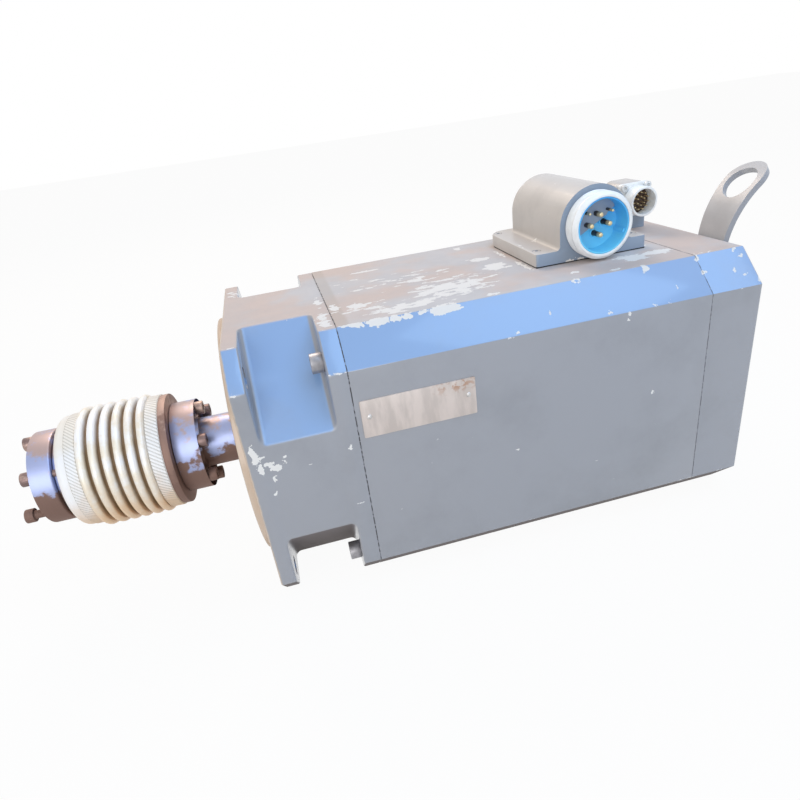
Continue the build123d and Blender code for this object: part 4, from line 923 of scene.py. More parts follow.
class Finishes:
    """Every material of the motor, made once from the colours."""

    def __init__(self, colours, coupling):
        self.paint = paint_material(colours)
        self.hood = small_casting_material("hood_enamel", colours.hood, colours.hood_front,
                                           colours, HOOD_CHIPS)
        self.strap = small_casting_material("strap_enamel", colours.strap, colours.paint,
                                            colours, STRAP_CHIPS)
        self.steel = steel_material("oxidised_steel", colours, colours.steel, 0.05, 0.36)
        self.rusty_steel = steel_material("rusty_steel", colours, colours.rust, 0.0, 0.55)
        self.screw = steel_material("rusty_screw", colours, (0.22, 0.15, 0.14), 0.0, 0.38)
        self.dull_screw = simple_material("dull_screw", (0.40, 0.39, 0.41), 0.42, 200.0, Metallic=0.7)
        self.light_screw = simple_material("plated_screw", (0.80, 0.82, 0.83), 0.42, 200.0, Metallic=0.2)
        self.motor_ring = ring_material(colours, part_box("motor_end_ring")[1].z)
        self.driven_ring = ring_material(colours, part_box("driven_end_ring")[1].z)
        self.bellows = bellows_material(colours, coupling.root_radius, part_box("bellows")[1].z)
        self.shell = simple_material("plated_shell", colours.shell, 0.45, 120.0, 0.9, Metallic=0.1,
                                     IOR=1.5)
        self.blue = blue_material(colours, *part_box("power_insert"))
        self.plate = plate_material(colours, *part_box("nameplate"))
        self.rivet = simple_material("rivet_metal", (0.66, 0.64, 0.62), 0.3, 300.0, Metallic=0.6)
        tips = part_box("power_pins")[1].y
        self.power_pin = pin_material(colours, tips - 4.5 * MM, tips - 1.5 * MM)
        self.signal_pin = simple_material("signal_gilt", colours.gilt, 0.3, 400.0, 0.7, Metallic=0.7)
        self.socket = simple_material("socket_moulding", colours.socket, 0.5, 200.0, IOR=1.5)
        self.rubber = simple_material("rubber", colours.rubber, 0.62, 150.0, IOR=1.5)
        self.aluminium = simple_material("bare_aluminium", (0.56, 0.57, 0.59), 0.42, 90.0, 0.8,
                                         Metallic=0.9)
        self.bearing = simple_material("bearing_steel", (0.62, 0.62, 0.64), 0.16, 60.0, 0.9,
                                       Metallic=1.0)
        self.sheets = simple_material("lamination_steel", (0.24, 0.24, 0.26), 0.45, 250.0, Metallic=0.8)
        self.magnet = simple_material("magnet_coating", (0.05, 0.05, 0.055), 0.4, 100.0, Metallic=0.3)
        self.brass = simple_material("balance_brass", (0.55, 0.36, 0.12), 0.32, 100.0, Metallic=0.9)
        self.copper = simple_material("winding_copper", (0.45, 0.14, 0.05), 0.4, 220.0, Metallic=0.6)
        self.disc = simple_material("disc_plastic", (0.06, 0.065, 0.07), 0.25, 60.0, IOR=1.5)


class MotorPart:
    """What every operator that makes pieces shares."""
    bl_options = {"REGISTER", "UNDO"}

    def execute(self, context):
        self.make()
        return {"FINISHED"}

    @property
    def housing(self):
        return bpy.context.scene.motor_housing

    @property
    def connectors(self):
        return bpy.context.scene.motor_connectors

    @property
    def coupling(self):
        return bpy.context.scene.motor_coupling


made = {}

# Angles round the shaft axis, from +Y towards +Z: the four corners and the six clamp screws
CORNER_TURNS = [radians(45 + 90 * i) for i in range(4)]
CLAMP_TURNS = [radians(30 + 60 * i) for i in range(6)]

# Gap between two turned pieces that fit into each other
FIT_GAP = 0.05 * MM

# Radii of the plain holes for the cap screws
M3_HOLE = 1.75 * MM
M6_HOLE = 3.25 * MM
M8_HOLE = 4.25 * MM

# Pins of the power connector: distance from its axis, pin radius, angles in degrees
POWER_PINS = {
    "power_pins": (7 * MM, 1.8 * MM, (0, 90, 180, 270)),
    "control_pins": (12.2 * MM, 1.0 * MM, (45, 135)),
}

# Where the signal connector's round neck goes through the top of the rear cover
SIGNAL_NECK_Y = -33 * MM

# Cap screws by thread: head radius, head height, shank radius, width across the socket's flats
SCREW_SIZES = {
    "m8": (6.5 * MM, 8 * MM, 4 * MM, 6 * MM),
    "m6": (5.0 * MM, 6 * MM, 3 * MM, 5 * MM),
    "m3": (2.75 * MM, 3 * MM, 1.5 * MM, 2.5 * MM),
}


def octagon_block(start, end, half, leg):
    """A square bar from start to end along X with its four long edges cut at 45 degrees."""
    bar = block((start, -half, -half), (end, half, half))
    pick(bar, "EDGE", lambda e: span(e, "x") > MM)
    bpy.ops.mesh.bevel(offset=leg, segments=1, affect="EDGES", clamp_overlap=False)
    deselect()
    return bar


def round_axis(radius, turns):
    """Places round an axis in its cross plane, one for each angle."""
    return [(radius * cos(turn), radius * sin(turn)) for turn in turns]


class MOTOR_OT_front_shield(MotorPart, bpy.types.Operator):
    """Models the front bearing shield with its four corner pockets and its spigot"""
    bl_idname = "motor.front_shield"
    bl_label = "Front shield"

    def make(self):
        sizes = self.housing
        half = HOUSING_HIGH.y
        seam = HOUSING_HIGH.x
        casting = octagon_block(seam, 0.0, half, sizes.corner_leg)
        pocket_start = seam + sizes.web_thickness
        for turn in CORNER_TURNS:
            low = (pocket_start, -half, sizes.pocket_floor)
            high = (-sizes.flange_thickness, half, sizes.pocket_floor + half)
            cutter = block(low, high)
            round_edges(cutter, lambda e: abs(middle(e).z - sizes.pocket_floor) < MM / 10
                        and span(e, "y") > MM, sizes.pocket_corner, 6)
            stand(cutter, Matrix.Rotation(turn - pi / 2, 4, "X"))
            combine(casting, cutter)
        least = radians(30)
        at_seam = seam + MM / 10
        round_edges(casting, lambda e: sharp(e, least) and middle(e).x > at_seam, sizes.shield_edge, 3)
        round_edges(casting, lambda e: sharp(e, least) and middle(e).x < at_seam, sizes.seam_edge, 2)
        spigot_end = SHIELD_HIGH.x
        root = -2 * MM
        spigot = turned(((root, 0), (root, sizes.spigot_radius), (spigot_end, sizes.spigot_radius),
                         (spigot_end, 0)), 128, 1.0 * MM, 2, closed=False)
        combine(casting, spigot, "UNION")
        register = rod((SHIELD_LOW.x, 0, 0), (seam + MM, 0, 0), sizes.bore - FIT_GAP, 128)
        combine(casting, register, "UNION")
        combine(casting, self.inner_bore(sizes))
        for y, z in round_axis(sizes.bolt_circle, CORNER_TURNS):
            drill(casting, (-sizes.flange_thickness - MM, y, z), (MM, y, z), sizes.bolt_hole, 40)
            drill(casting, (seam - MM, y, z), (pocket_start + MM, y, z), M8_HOLE, 32)
        finish(casting, "shield_casting", "motor", "housing_paint", made["finishes"].paint,
               "front_shield", smooth=30)

    def inner_bore(self, sizes):
        """The cutter for the seal seat, the bearing seat and the open back of the shield."""
        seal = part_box("shaft_seal")
        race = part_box("front_bearing_outer_race")
        seal_radius = seal[1].z + FIT_GAP
        race_radius = race[1].z + FIT_GAP
        shoulder = race_radius - 10 * MM
        boss = race_radius + 16 * MM
        cavity = sizes.bore - 6 * MM
        wall = 14 * MM
        return turned((
            (SHIELD_HIGH.x + MM, 0), (SHIELD_HIGH.x + MM, seal_radius), (seal[0].x, seal_radius),
            (seal[0].x, shoulder), (race[1].x, shoulder), (race[1].x, race_radius),
            (race[0].x, race_radius), (race[0].x, boss), (-wall, boss), (-wall, cavity),
            (SHIELD_LOW.x - MM, cavity), (SHIELD_LOW.x - MM, 0),
        ), 96, closed=False)


class MOTOR_OT_stator_housing(MotorPart, bpy.types.Operator):
    """Models the square stator housing with its bore and cable opening"""
    bl_idname = "motor.stator_housing"
    bl_label = "Stator housing"

    def make(self):
        sizes = self.housing
        half = HOUSING_HIGH.y
        tube = octagon_block(HOUSING_LOW.x, HOUSING_HIGH.x, half, sizes.corner_leg)
        round_edges(tube, sharp, sizes.seam_edge, 2)
        drill(tube, (HOUSING_LOW.x - MM, 0, 0), (HOUSING_HIGH.x + MM, 0, 0), sizes.bore, 128)
        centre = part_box("power_shell")
        x = (centre[0].x + centre[1].x) / 2
        opening = 15 * MM
        combine(tube, block((x - opening, -opening, half / 2), (x + opening, opening, half + MM)))
        recess = 8 * MM
        ear_half = 12.3 * MM
        ear_reach = 103.4 * MM
        for turn in CORNER_TURNS:
            ear = block((HOUSING_LOW.x - MM, 0, -ear_half),
                        (HOUSING_LOW.x + recess, ear_reach, ear_half))
            combine(tube, stand(ear, Matrix.Rotation(turn, 4, "X")))
        finish(tube, "housing_tube", "motor", "housing_paint", made["finishes"].paint, "stator_housing",
               smooth=30)


class MOTOR_OT_rear_cover(MotorPart, bpy.types.Operator):
    """Models the rear cover with its counterbored screw holes"""
    bl_idname = "motor.rear_cover"
    bl_label = "Rear cover"

    def make(self):
        sizes = self.housing
        half = HOUSING_HIGH.y
        cover = octagon_block(COVER_LOW.x, COVER_HIGH.x, half, sizes.corner_leg)
        round_edges(cover, lambda e: sharp(e) and middle(e).x < COVER_LOW.x + MM, 2.0 * MM, 4)
        back_wall = 6 * MM
        inner_leg = 33 * MM
        head_depth = 7 * MM
        head_hole = 5.5 * MM
        combine(cover, octagon_block(COVER_LOW.x + back_wall, COVER_HIGH.x + MM,
                                     half - sizes.cover_wall, inner_leg))
        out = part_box("cover_screws")[1].y - SCREW_SIZES["m6"][0]
        for y, z in product((-out, out), repeat=2):
            drill(cover, (COVER_LOW.x - MM, y, z), (COVER_LOW.x + head_depth, y, z), head_hole, 40)
            drill(cover, (COVER_LOW.x, y, z), (COVER_HIGH.x + MM, y, z), M6_HOLE, 32)
        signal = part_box("signal_housing")
        x = (signal[0].x + signal[1].x) / 2
        neck_hole = 8 * MM
        drill(cover, (x, SIGNAL_NECK_Y, half - 9 * MM), (x, SIGNAL_NECK_Y, half + MM), neck_hole, 40)
        finish(cover, "cover_casting", "motor", "housing_paint", made["finishes"].paint, "rear_cover",
               smooth=30)


def cap_screw(head_radius, head_height, shank_radius, length, socket):
    """A socket head cap screw along X: its head from 0 to +X, its shank behind."""
    profile = ((-length, 0), (-length, shank_radius), (0, shank_radius), (0, head_radius),
               (head_height, head_radius), (head_height, 0))
    screw = turned(profile, 28, 0.08 * head_radius, 2, closed=False)
    hexagon = rod((head_height * 0.45, 0, 0), (head_height + MM, 0, 0), socket / 2 / cos(pi / 6), 6)
    combine(screw, hexagon)
    return screw


def screws_like(node, size, places, towards, length, material, turn=0.4):
    """Cap screws at the given head seats, each with its socket turned a little differently."""
    head_radius, height, shank, socket = SCREW_SIZES[size]
    screw = cap_screw(head_radius, height, shank, length, socket)
    aim = Vector((1, 0, 0)).rotation_difference(Vector(towards)).to_matrix().to_4x4()
    matrices = [Matrix.Translation(p) @ aim @ Matrix.Rotation(turn * (i + 1), 4, "X")
                for i, p in enumerate(places)]
    body = frame["nodes"][node]["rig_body"]
    finish(copies(screw, matrices), node + "_set", body, "screw_steel", material, node)


def head_places(node, first, second):
    """The four M3 heads at the corners of a node's box, by two of its axes."""
    low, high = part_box(node)
    radius = SCREW_SIZES["m3"][0]
    sides = [(getattr(low, axis) + radius, getattr(high, axis) - radius) for axis in (first, second)]
    return product(*sides)


class MOTOR_OT_screws(MotorPart, bpy.types.Operator):
    """Models every group of cap screws that shows"""
    bl_idname = "motor.screws"
    bl_label = "Cap screws"

    def make(self):
        dull = made["finishes"].dull_screw
        radius, height = SCREW_SIZES["m8"][:2]
        low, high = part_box("shield_screws")
        face = high.x - height
        seats = [(face, y, z) for y, z in round_axis(self.housing.bolt_circle, CORNER_TURNS)]
        screws_like("shield_screws", "m8", seats, (1, 0, 0), face - low.x, dull)
        self.cover_screws(dull)
        low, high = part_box("strap_screws")
        y = (low.y + high.y) / 2
        seats = [(low.x + height, y, z) for z in (low.z + radius, high.z - radius)]
        screws_like("strap_screws", "m8", seats, (-1, 0, 0), high.x - low.x - height, dull)
        height = SCREW_SIZES["m3"][1]
        low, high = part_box("flange_screws")
        seats = [(x, y, high.z - height) for x, y in head_places("flange_screws", "x", "y")]
        screws_like("flange_screws", "m3", seats, (0, 0, 1), high.z - low.z - height,
                    made["finishes"].hood)
        low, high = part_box("signal_screws")
        seats = [(x, high.y - height, z) for x, z in head_places("signal_screws", "x", "z")]
        screws_like("signal_screws", "m3", seats, (0, 1, 0), high.y - low.y - height,
                    made["finishes"].light_screw)
        driven_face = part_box("driven_clamp_ring")[1].x
        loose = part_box("driven_clamp_screws")[1].x - driven_face - SCREW_SIZES["m6"][1]
        self.coupling_screws("motor_clamp_screws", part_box("motor_clamp_ring")[0].x, -1, 0.0)
        self.coupling_screws("driven_clamp_screws", driven_face, 1, loose)

    def cover_screws(self, material):
        """The four screws at the corners of the rear face."""
        radius, height = SCREW_SIZES["m6"][:2]
        low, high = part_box("cover_screws")
        out = high.y - radius
        seats = [(low.x + height, y, z) for y, z in product((-out, out), repeat=2)]
        screws_like("cover_screws", "m6", seats, (-1, 0, 0), high.x - low.x - height, material)

    def coupling_screws(self, node, face, way, loose):
        """Six screws round a clamp ring, the last one backed out by the loose distance."""
        low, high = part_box(node)
        places = [(face, y, z) for y, z in round_axis(high.z - SCREW_SIZES["m6"][0], CLAMP_TURNS)]
        places[-1] = (face + way * loose, *places[-1][1:])
        reach = high.x - face if way < 0 else face - low.x
        screws_like(node, "m6", places, (way, 0, 0), reach, made["finishes"].screw)


class MOTOR_OT_shaft(MotorPart, bpy.types.Operator):
    """Models the turned shaft"""
    bl_idname = "motor.shaft"
    bl_label = "Shaft"

    def make(self):
        low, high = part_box("shaft")
        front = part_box("front_bearing_inner_race")
        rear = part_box("rear_bearing_inner_race")
        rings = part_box("balancing_rings")
        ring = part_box("retaining_ring")
        end = 19 * MM
        journal = 20 * MM
        groove = 18.75 * MM
        profile = (
            (high.x, 0), (high.x, end - 1.5 * MM), (high.x - 1.5 * MM, end), (5 * MM, end),
            (5 * MM, journal), (ring[1].x + 0.1 * MM, journal), (ring[1].x + 0.1 * MM, groove),
            (front[1].x, groove), (front[1].x, journal), (front[0].x, journal), (front[0].x, 24 * MM),
            (rings[1].x, 24 * MM), (rings[1].x, 27 * MM), (rings[0].x, 27 * MM), (rings[0].x, 21 * MM),
            (rear[1].x, 21 * MM), (rear[1].x, 17.5 * MM), (rear[0].x, 17.5 * MM), (rear[0].x, 7 * MM),
            (low.x, 7 * MM), (low.x, 0),
        )
        shaft = turned(profile, 96, 0.25 * MM, 1, closed=False)
        finish(shaft, "shaft_body", "rotor", "oxidised_steel", made["finishes"].steel, "shaft")


def screw_holes(obj, start, end, radius):
    """Cuts the six clamp screw holes through a coupling piece."""
    for y, z in round_axis(radius, CLAMP_TURNS):
        drill(obj, (start, y, z), (end, y, z), M6_HOLE, 24)


class MOTOR_OT_hubs(MotorPart, bpy.types.Operator):
    """Models the two clamp hubs of the coupling with their cone rings"""
    bl_idname = "motor.hubs"
    bl_label = "Coupling hubs"

    def make(self):
        edge = self.coupling.edge
        steel = made["finishes"].steel
        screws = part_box("motor_clamp_screws")[1].z - SCREW_SIZES["m6"][0]
        thin = 22.5 * MM
        thick = 25.5 * MM
        low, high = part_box("motor_clamp_ring")
        ring = turned(((low.x, thin + FIT_GAP), (high.x, thick + FIT_GAP), (high.x, high.z),
                       (low.x, high.z)), 112, edge)
        screw_holes(ring, low.x - MM, high.x + MM, screws)
        finish(ring, "motor_cone_ring", "rotor", "oxidised_steel", steel, "motor_clamp_ring")
        hub_low, hub_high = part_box("motor_hub")
        disc_start = high.x + 0.5 * MM
        disc_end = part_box("motor_end_ring")[0].x
        bore = 19.05 * MM
        sleeve = 29 * MM
        register = 37.95 * MM
        hub = turned((
            (hub_low.x, bore), (hub_low.x, thin), (high.x, thick), (disc_start, thick),
            (disc_start, hub_high.z), (disc_end, hub_high.z), (disc_end, register),
            (disc_end + 4 * MM, register), (disc_end + 4 * MM, sleeve), (hub_high.x, sleeve),
            (hub_high.x, bore),
        ), 112, edge * 0.6)
        rusty = made["finishes"].rusty_steel
        finish(hub, "motor_hub_body", "rotor", "oxidised_steel", rusty, "motor_hub")
        low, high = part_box("driven_clamp_ring")
        ring = turned(((high.x, thin + FIT_GAP), (low.x, thick + FIT_GAP), (low.x, high.z),
                       (high.x, high.z)), 112, edge * 1.6, 3)
        screw_holes(ring, low.x - MM, high.x + MM, screws)
        finish(ring, "driven_cone_ring", "driven_side", "oxidised_steel", steel, "driven_clamp_ring")
        hub_low, hub_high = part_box("driven_hub")
        ring_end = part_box("driven_end_ring")[1].x
        disc_end = low.x - 0.5 * MM
        bore = 19 * MM
        shoulder = 31 * MM
        register = 33 * MM
        hub = turned((
            (hub_low.x, bore), (hub_low.x, sleeve), (ring_end - 4 * MM, sleeve),
            (ring_end - 4 * MM, register), (ring_end, register), (ring_end, shoulder),
            (disc_end, shoulder), (disc_end, thick), (low.x, thick), (hub_high.x, thin),
            (hub_high.x, bore),
        ), 112, edge * 0.5)
        finish(hub, "driven_hub_body", "driven_side", "oxidised_steel", steel, "driven_hub")


def knurl(obj, start, end, radius, sizes):
    """Moves the vertices of a band in and out along slanted teeth."""
    teeth = sizes.knurl_teeth
    depth = sizes.knurl_depth
    slant = sizes.knurl_slant
    mesh = obj.data
    for vertex in mesh.vertices:
        out = hypot(vertex.co.y, vertex.co.z)
        if abs(out - radius) > MM / 100 or not start < vertex.co.x < end:
            continue
        turn = atan2(vertex.co.z, vertex.co.y)
        share = (vertex.co.x - start) / (end - start)
        phase = (turn * teeth / (2 * pi) + share * slant * teeth / (2 * pi * radius)) % 1.0
        scale = (out - depth * abs(2 * phase - 1)) / out
        vertex.co.y *= scale
        vertex.co.z *= scale
    mesh.update()


class MOTOR_OT_end_rings(MotorPart, bpy.types.Operator):
    """Models the two knurled rings that hold the bellows"""
    bl_idname = "motor.end_rings"
    bl_label = "Knurled rings"

    def make(self):
        sizes = self.coupling
        rows = 9
        steps = sizes.knurl_teeth * 4
        inside = sizes.root_radius - 0.5 * MM
        low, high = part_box("motor_end_ring")
        edge = 0.6 * MM
        start = low.x + edge
        end = high.x - edge
        band = [(start + (end - start) * i / rows, high.z) for i in range(rows + 1)]
        ring = turned([(low.x, inside), (low.x, high.z - edge)] + band
                      + [(high.x, high.z - edge), (high.x, inside)], steps)
        knurl(ring, start - MM, end + MM, high.z, sizes)
        finishes = made["finishes"]
        finish(ring, "motor_knurled_ring", "rotor", "ring_metal", finishes.motor_ring, "motor_end_ring",
               smooth=50)
        low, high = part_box("driven_end_ring")
        radius = high.z
        knurl_end = low.x + 7.2 * MM
        bevel_start = high.x - 5 * MM
        step = 0.6 * MM
        start = low.x + edge
        band = [(start + (knurl_end - start) * i / rows, radius) for i in range(rows + 1)]
        profile = [(low.x, inside), (low.x, radius - edge)] + band
        profile += [(knurl_end + step, radius - step), (bevel_start, radius - step)]
        profile += arc((bevel_start, radius - step - 5 * MM), 5 * MM, 90, 25, 5)[1:]
        bore = 33.05 * MM
        bore_end = low.x + 4.9 * MM
        profile += [(high.x, radius - 5 * MM), (high.x, bore), (bore_end, bore), (bore_end, inside)]
        ring = turned(profile, steps)
        knurl(ring, start - MM, knurl_end + MM / 10, radius, sizes)
        finish(ring, "driven_knurled_ring", "driven_side", "ring_metal", finishes.driven_ring,
               "driven_end_ring", smooth=50)


class MOTOR_OT_bellows(MotorPart, bpy.types.Operator):
    """Models the corrugated bellows between the two rings"""
    bl_idname = "motor.bellows"
    bl_label = "Bellows"

    def make(self):
        sizes = self.coupling
        low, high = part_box("bellows")
        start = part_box("motor_end_ring")[1].x
        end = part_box("driven_end_ring")[0].x
        cuff = sizes.root_radius - 0.55 * MM
        bore = 37 * MM
        profile = [(low.x, bore), (low.x, cuff), (start, cuff), (start, sizes.root_radius)]
        first = (start + end - (sizes.crest_count - 1) * sizes.crest_pitch) / 2
        top = high.z - sizes.crest_round
        foot = sizes.root_radius
        for i in range(sizes.crest_count):
            x = first + i * sizes.crest_pitch
            rise = x - sizes.crest_round
            fall = x + sizes.crest_round
            fillet = sizes.valley_round
            if i:
                profile += arc((rise - fillet, foot + fillet), fillet, -90, 0, 3)
            profile += arc((x, top), sizes.crest_round, 180, 0, 12)
            if i < sizes.crest_count - 1:
                profile += arc((fall + fillet, foot + fillet), fillet, 180, 270, 3)
        profile += [(end, foot), (end, cuff), (high.x, cuff), (high.x, bore)]
        bellows = turned(profile, 128)
        piece = finish(bellows, "bellows_tube", None, "bellows_metal", made["finishes"].bellows,
                       "bellows", smooth=60)
        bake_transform(piece)


class MOTOR_OT_power_connector(MotorPart, bpy.types.Operator):
    """Models the power connector: arched hood, threaded shell, blue insert and pins"""
    bl_idname = "motor.power_connector"
    bl_label = "Power connector"

    def make(self):
        shell_low, shell_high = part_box("power_shell")
        axis = (shell_low + shell_high) / 2
        self.hood(axis)
        self.shell(axis, shell_low, shell_high)
        self.insert(axis)
        for node, (out, radius, degrees) in POWER_PINS.items():
            self.pins(node, axis, out, radius, degrees)

    def hood(self, axis):
        """The arched casting and its flange."""
        sizes = self.connectors
        low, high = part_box("connector_hood")
        top = low.z + sizes.hood_flange
        flange = block((low.x, low.y, low.z), (high.x, high.y, top))
        round_edges(flange, lambda e: span(e, "z") > MM and middle(e).y < 0,
                    sizes.flange_back_corner, 10)
        front_corners = 30 * MM
        round_edges(flange, lambda e: span(e, "z") > MM and middle(e).y > front_corners,
                    sizes.flange_front_corner, 4)
        round_edges(flange, lambda e: sharp(e, radians(60)) and middle(e).z > top - MM / 10, 1.0 * MM, 2)
        set_back = 3.5 * MM
        back = low.y + set_back
        hood = rod((axis.x, back, axis.z), (axis.x, high.y, axis.z), sizes.hood_radius, 64)
        pick(hood, "FACE", lambda f: True)
        bpy.ops.mesh.bisect(plane_co=(0, 0, axis.z), plane_no=(0, 0, 1), use_fill=True, clear_inner=True)
        pick(hood, "FACE", lambda f: f.normal.z < -0.9)
        bpy.ops.mesh.extrude_region_move(
            TRANSFORM_OT_translate={"value": (0, 0, top - MM - axis.z)})
        deselect()
        round_edges(hood, lambda e: sharp(e) and middle(e).y < back + MM / 10 and middle(e).z > top,
                    sizes.hood_back_edge, 6)
        combine(flange, hood, "UNION")
        for way in (-1, 1):
            combine(flange, self.foot_strip(axis, way, back, high.y, top), "UNION")
        round_edges(flange, lambda e: sharp(e, radians(60)) and middle(e).y > high.y - MM / 10
                    and middle(e).z > top + 3 * MM, sizes.hood_front_edge, 2)
        inner = sizes.hood_radius - sizes.hood_wall
        hollow_back = back + sizes.hood_wall
        hollow_front = high.y - 6 * MM
        drill(flange, (axis.x, hollow_back, axis.z), (axis.x, hollow_front, axis.z), inner, 48)
        combine(flange, block((axis.x - inner, hollow_back, low.z - MM),
                              (axis.x + inner, hollow_front, axis.z)))
        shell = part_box("power_shell")
        seat = shell[1].z - axis.z - 0.45 * MM
        mouth = (axis.x, high.y + MM, axis.z)
        drill(flange, (axis.x, shell[0].y, axis.z), mouth, seat, 96)
        drill(flange, (axis.x, high.y - 10 * MM, axis.z), mouth, sizes.shell_bore, 96)
        head_hole = 3.15 * MM
        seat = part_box("flange_screws")[1].z - SCREW_SIZES["m3"][1]
        for x, y in head_places("flange_screws", "x", "y"):
            drill(flange, (x, y, seat), (x, y, top + MM), head_hole, 32)
            drill(flange, (x, y, low.z - MM), (x, y, top), M3_HOLE, 20)
        finish(flange, "hood_casting", "motor", "hood_paint", made["finishes"].hood, "connector_hood",
               smooth=35)

    def foot_strip(self, axis, way, back, front, top):
        """The hollow rounding along one side of the hood's foot."""
        sizes = self.connectors
        foot = sizes.hood_foot
        near = axis.x + way * (sizes.hood_radius - MM / 2)
        far = axis.x + way * (sizes.hood_radius + foot)
        start = back + sizes.hood_back_edge
        strip = block((min(near, far), start, top - MM / 2), (max(near, far), front, top + foot))
        drill(strip, (far, start - MM, top + foot), (far, front + MM, top + foot), foot, 48)
        return strip

    def shell(self, axis, low, high):
        """The threaded ring on its plain neck, bevelled at the mouth."""
        sizes = self.connectors
        outside = high.z - axis.z
        neck = outside - 0.5 * MM
        bore = sizes.shell_bore
        start = low.y
        end = high.y
        neck_end = start + 4 * MM
        thread_start = neck_end + 0.8 * MM
        pitch = sizes.thread_pitch
        ridges = int((end - sizes.shell_bevel - thread_start) / pitch)
        profile = [(start, bore), (start, neck), (neck_end, neck), (neck_end, outside - 0.2 * MM),
                   (neck_end + 0.2 * MM, outside), (thread_start, outside)]
        for i in range(ridges):
            x = thread_start + i * pitch
            profile += [(x + 0.35 * pitch, outside - sizes.thread_depth),
                        (x + 0.50 * pitch, outside - sizes.thread_depth), (x + 0.85 * pitch, outside),
                        (x + pitch, outside)]
        lip = outside - sizes.shell_bevel
        profile += [(end - sizes.shell_bevel, outside), (end - 0.2 * MM, lip + 0.2 * MM), (end, lip),
                    (end, bore + 0.3 * MM), (end - 0.3 * MM, bore)]
        ring = stand(turned(profile, 96), facing_y((axis.x, 0, axis.z)))
        finish(ring, "power_shell_ring", "motor", "shell_metal", made["finishes"].shell, "power_shell")

    def insert(self, axis):
        """The blue cup, with a rounded lip, a floor boss for each pin and two key ribs."""
        low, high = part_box("power_insert")
        outside = high.z - axis.z
        wall = 1.2 * MM
        inside = outside - wall
        free_pin = 11.5 * MM
        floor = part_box("power_pins")[1].y - free_pin
        cup = turned(((low.y, 0), (low.y, outside), (high.y, outside), (high.y, inside), (floor, inside),
                      (floor, 0)), 96, 0.4 * MM, 2, closed=False)
        stand(cup, facing_y((axis.x, 0, axis.z)))
        for out, radius, degrees in POWER_PINS.values():
            for turn in degrees:
                x = axis.x + out * cos(radians(turn))
                z = axis.z + out * sin(radians(turn))
                self.sleeve(cup, x, z, radius, floor, low.y)
        for turn in (radians(200), radians(340)):
            rib = block((inside - wall, floor - MM, -wall), (inside + 0.4 * MM, high.y - 2 * MM, wall))
            stand(rib, Matrix.Translation((axis.x, 0, axis.z)) @ Matrix.Rotation(-turn, 4, "Y"))
            combine(cup, rib, "UNION")
        finish(cup, "power_insert_cup", "motor", "blue_plastic", made["finishes"].blue, "power_insert")

    def sleeve(self, cup, x, z, radius, floor, back):
        """The boss round one pin on the cup's floor, and the hole for the pin."""
        boss = rod((x, floor - MM, z), (x, floor + 1.2 * MM, z), radius + 1.3 * MM, 32)
        round_edges(boss, lambda e: sharp(e, radians(60)) and middle(e).y > floor, 0.4 * MM, 2)
        combine(cup, boss, "UNION")
        drill(cup, (x, back - MM, z), (x, floor + 2 * MM, z), radius + 0.35 * MM, 32)

    def pins(self, node, axis, out, radius, degrees):
        """Round-tipped pins."""
        low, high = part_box(node)
        tip = radius * 0.7
        profile = [(low.y, 0), (low.y, radius), (high.y - tip, radius)]
        profile += arc((high.y - tip, radius * 0.3), tip, 90, 0, 4)[1:] + [(high.y, 0)]
        pins = copies(turned(profile, 24, closed=False), pin_matrices(axis, out, degrees))
        finish(pins, node + "_set", "motor", "contact_metal", made["finishes"].power_pin, node)


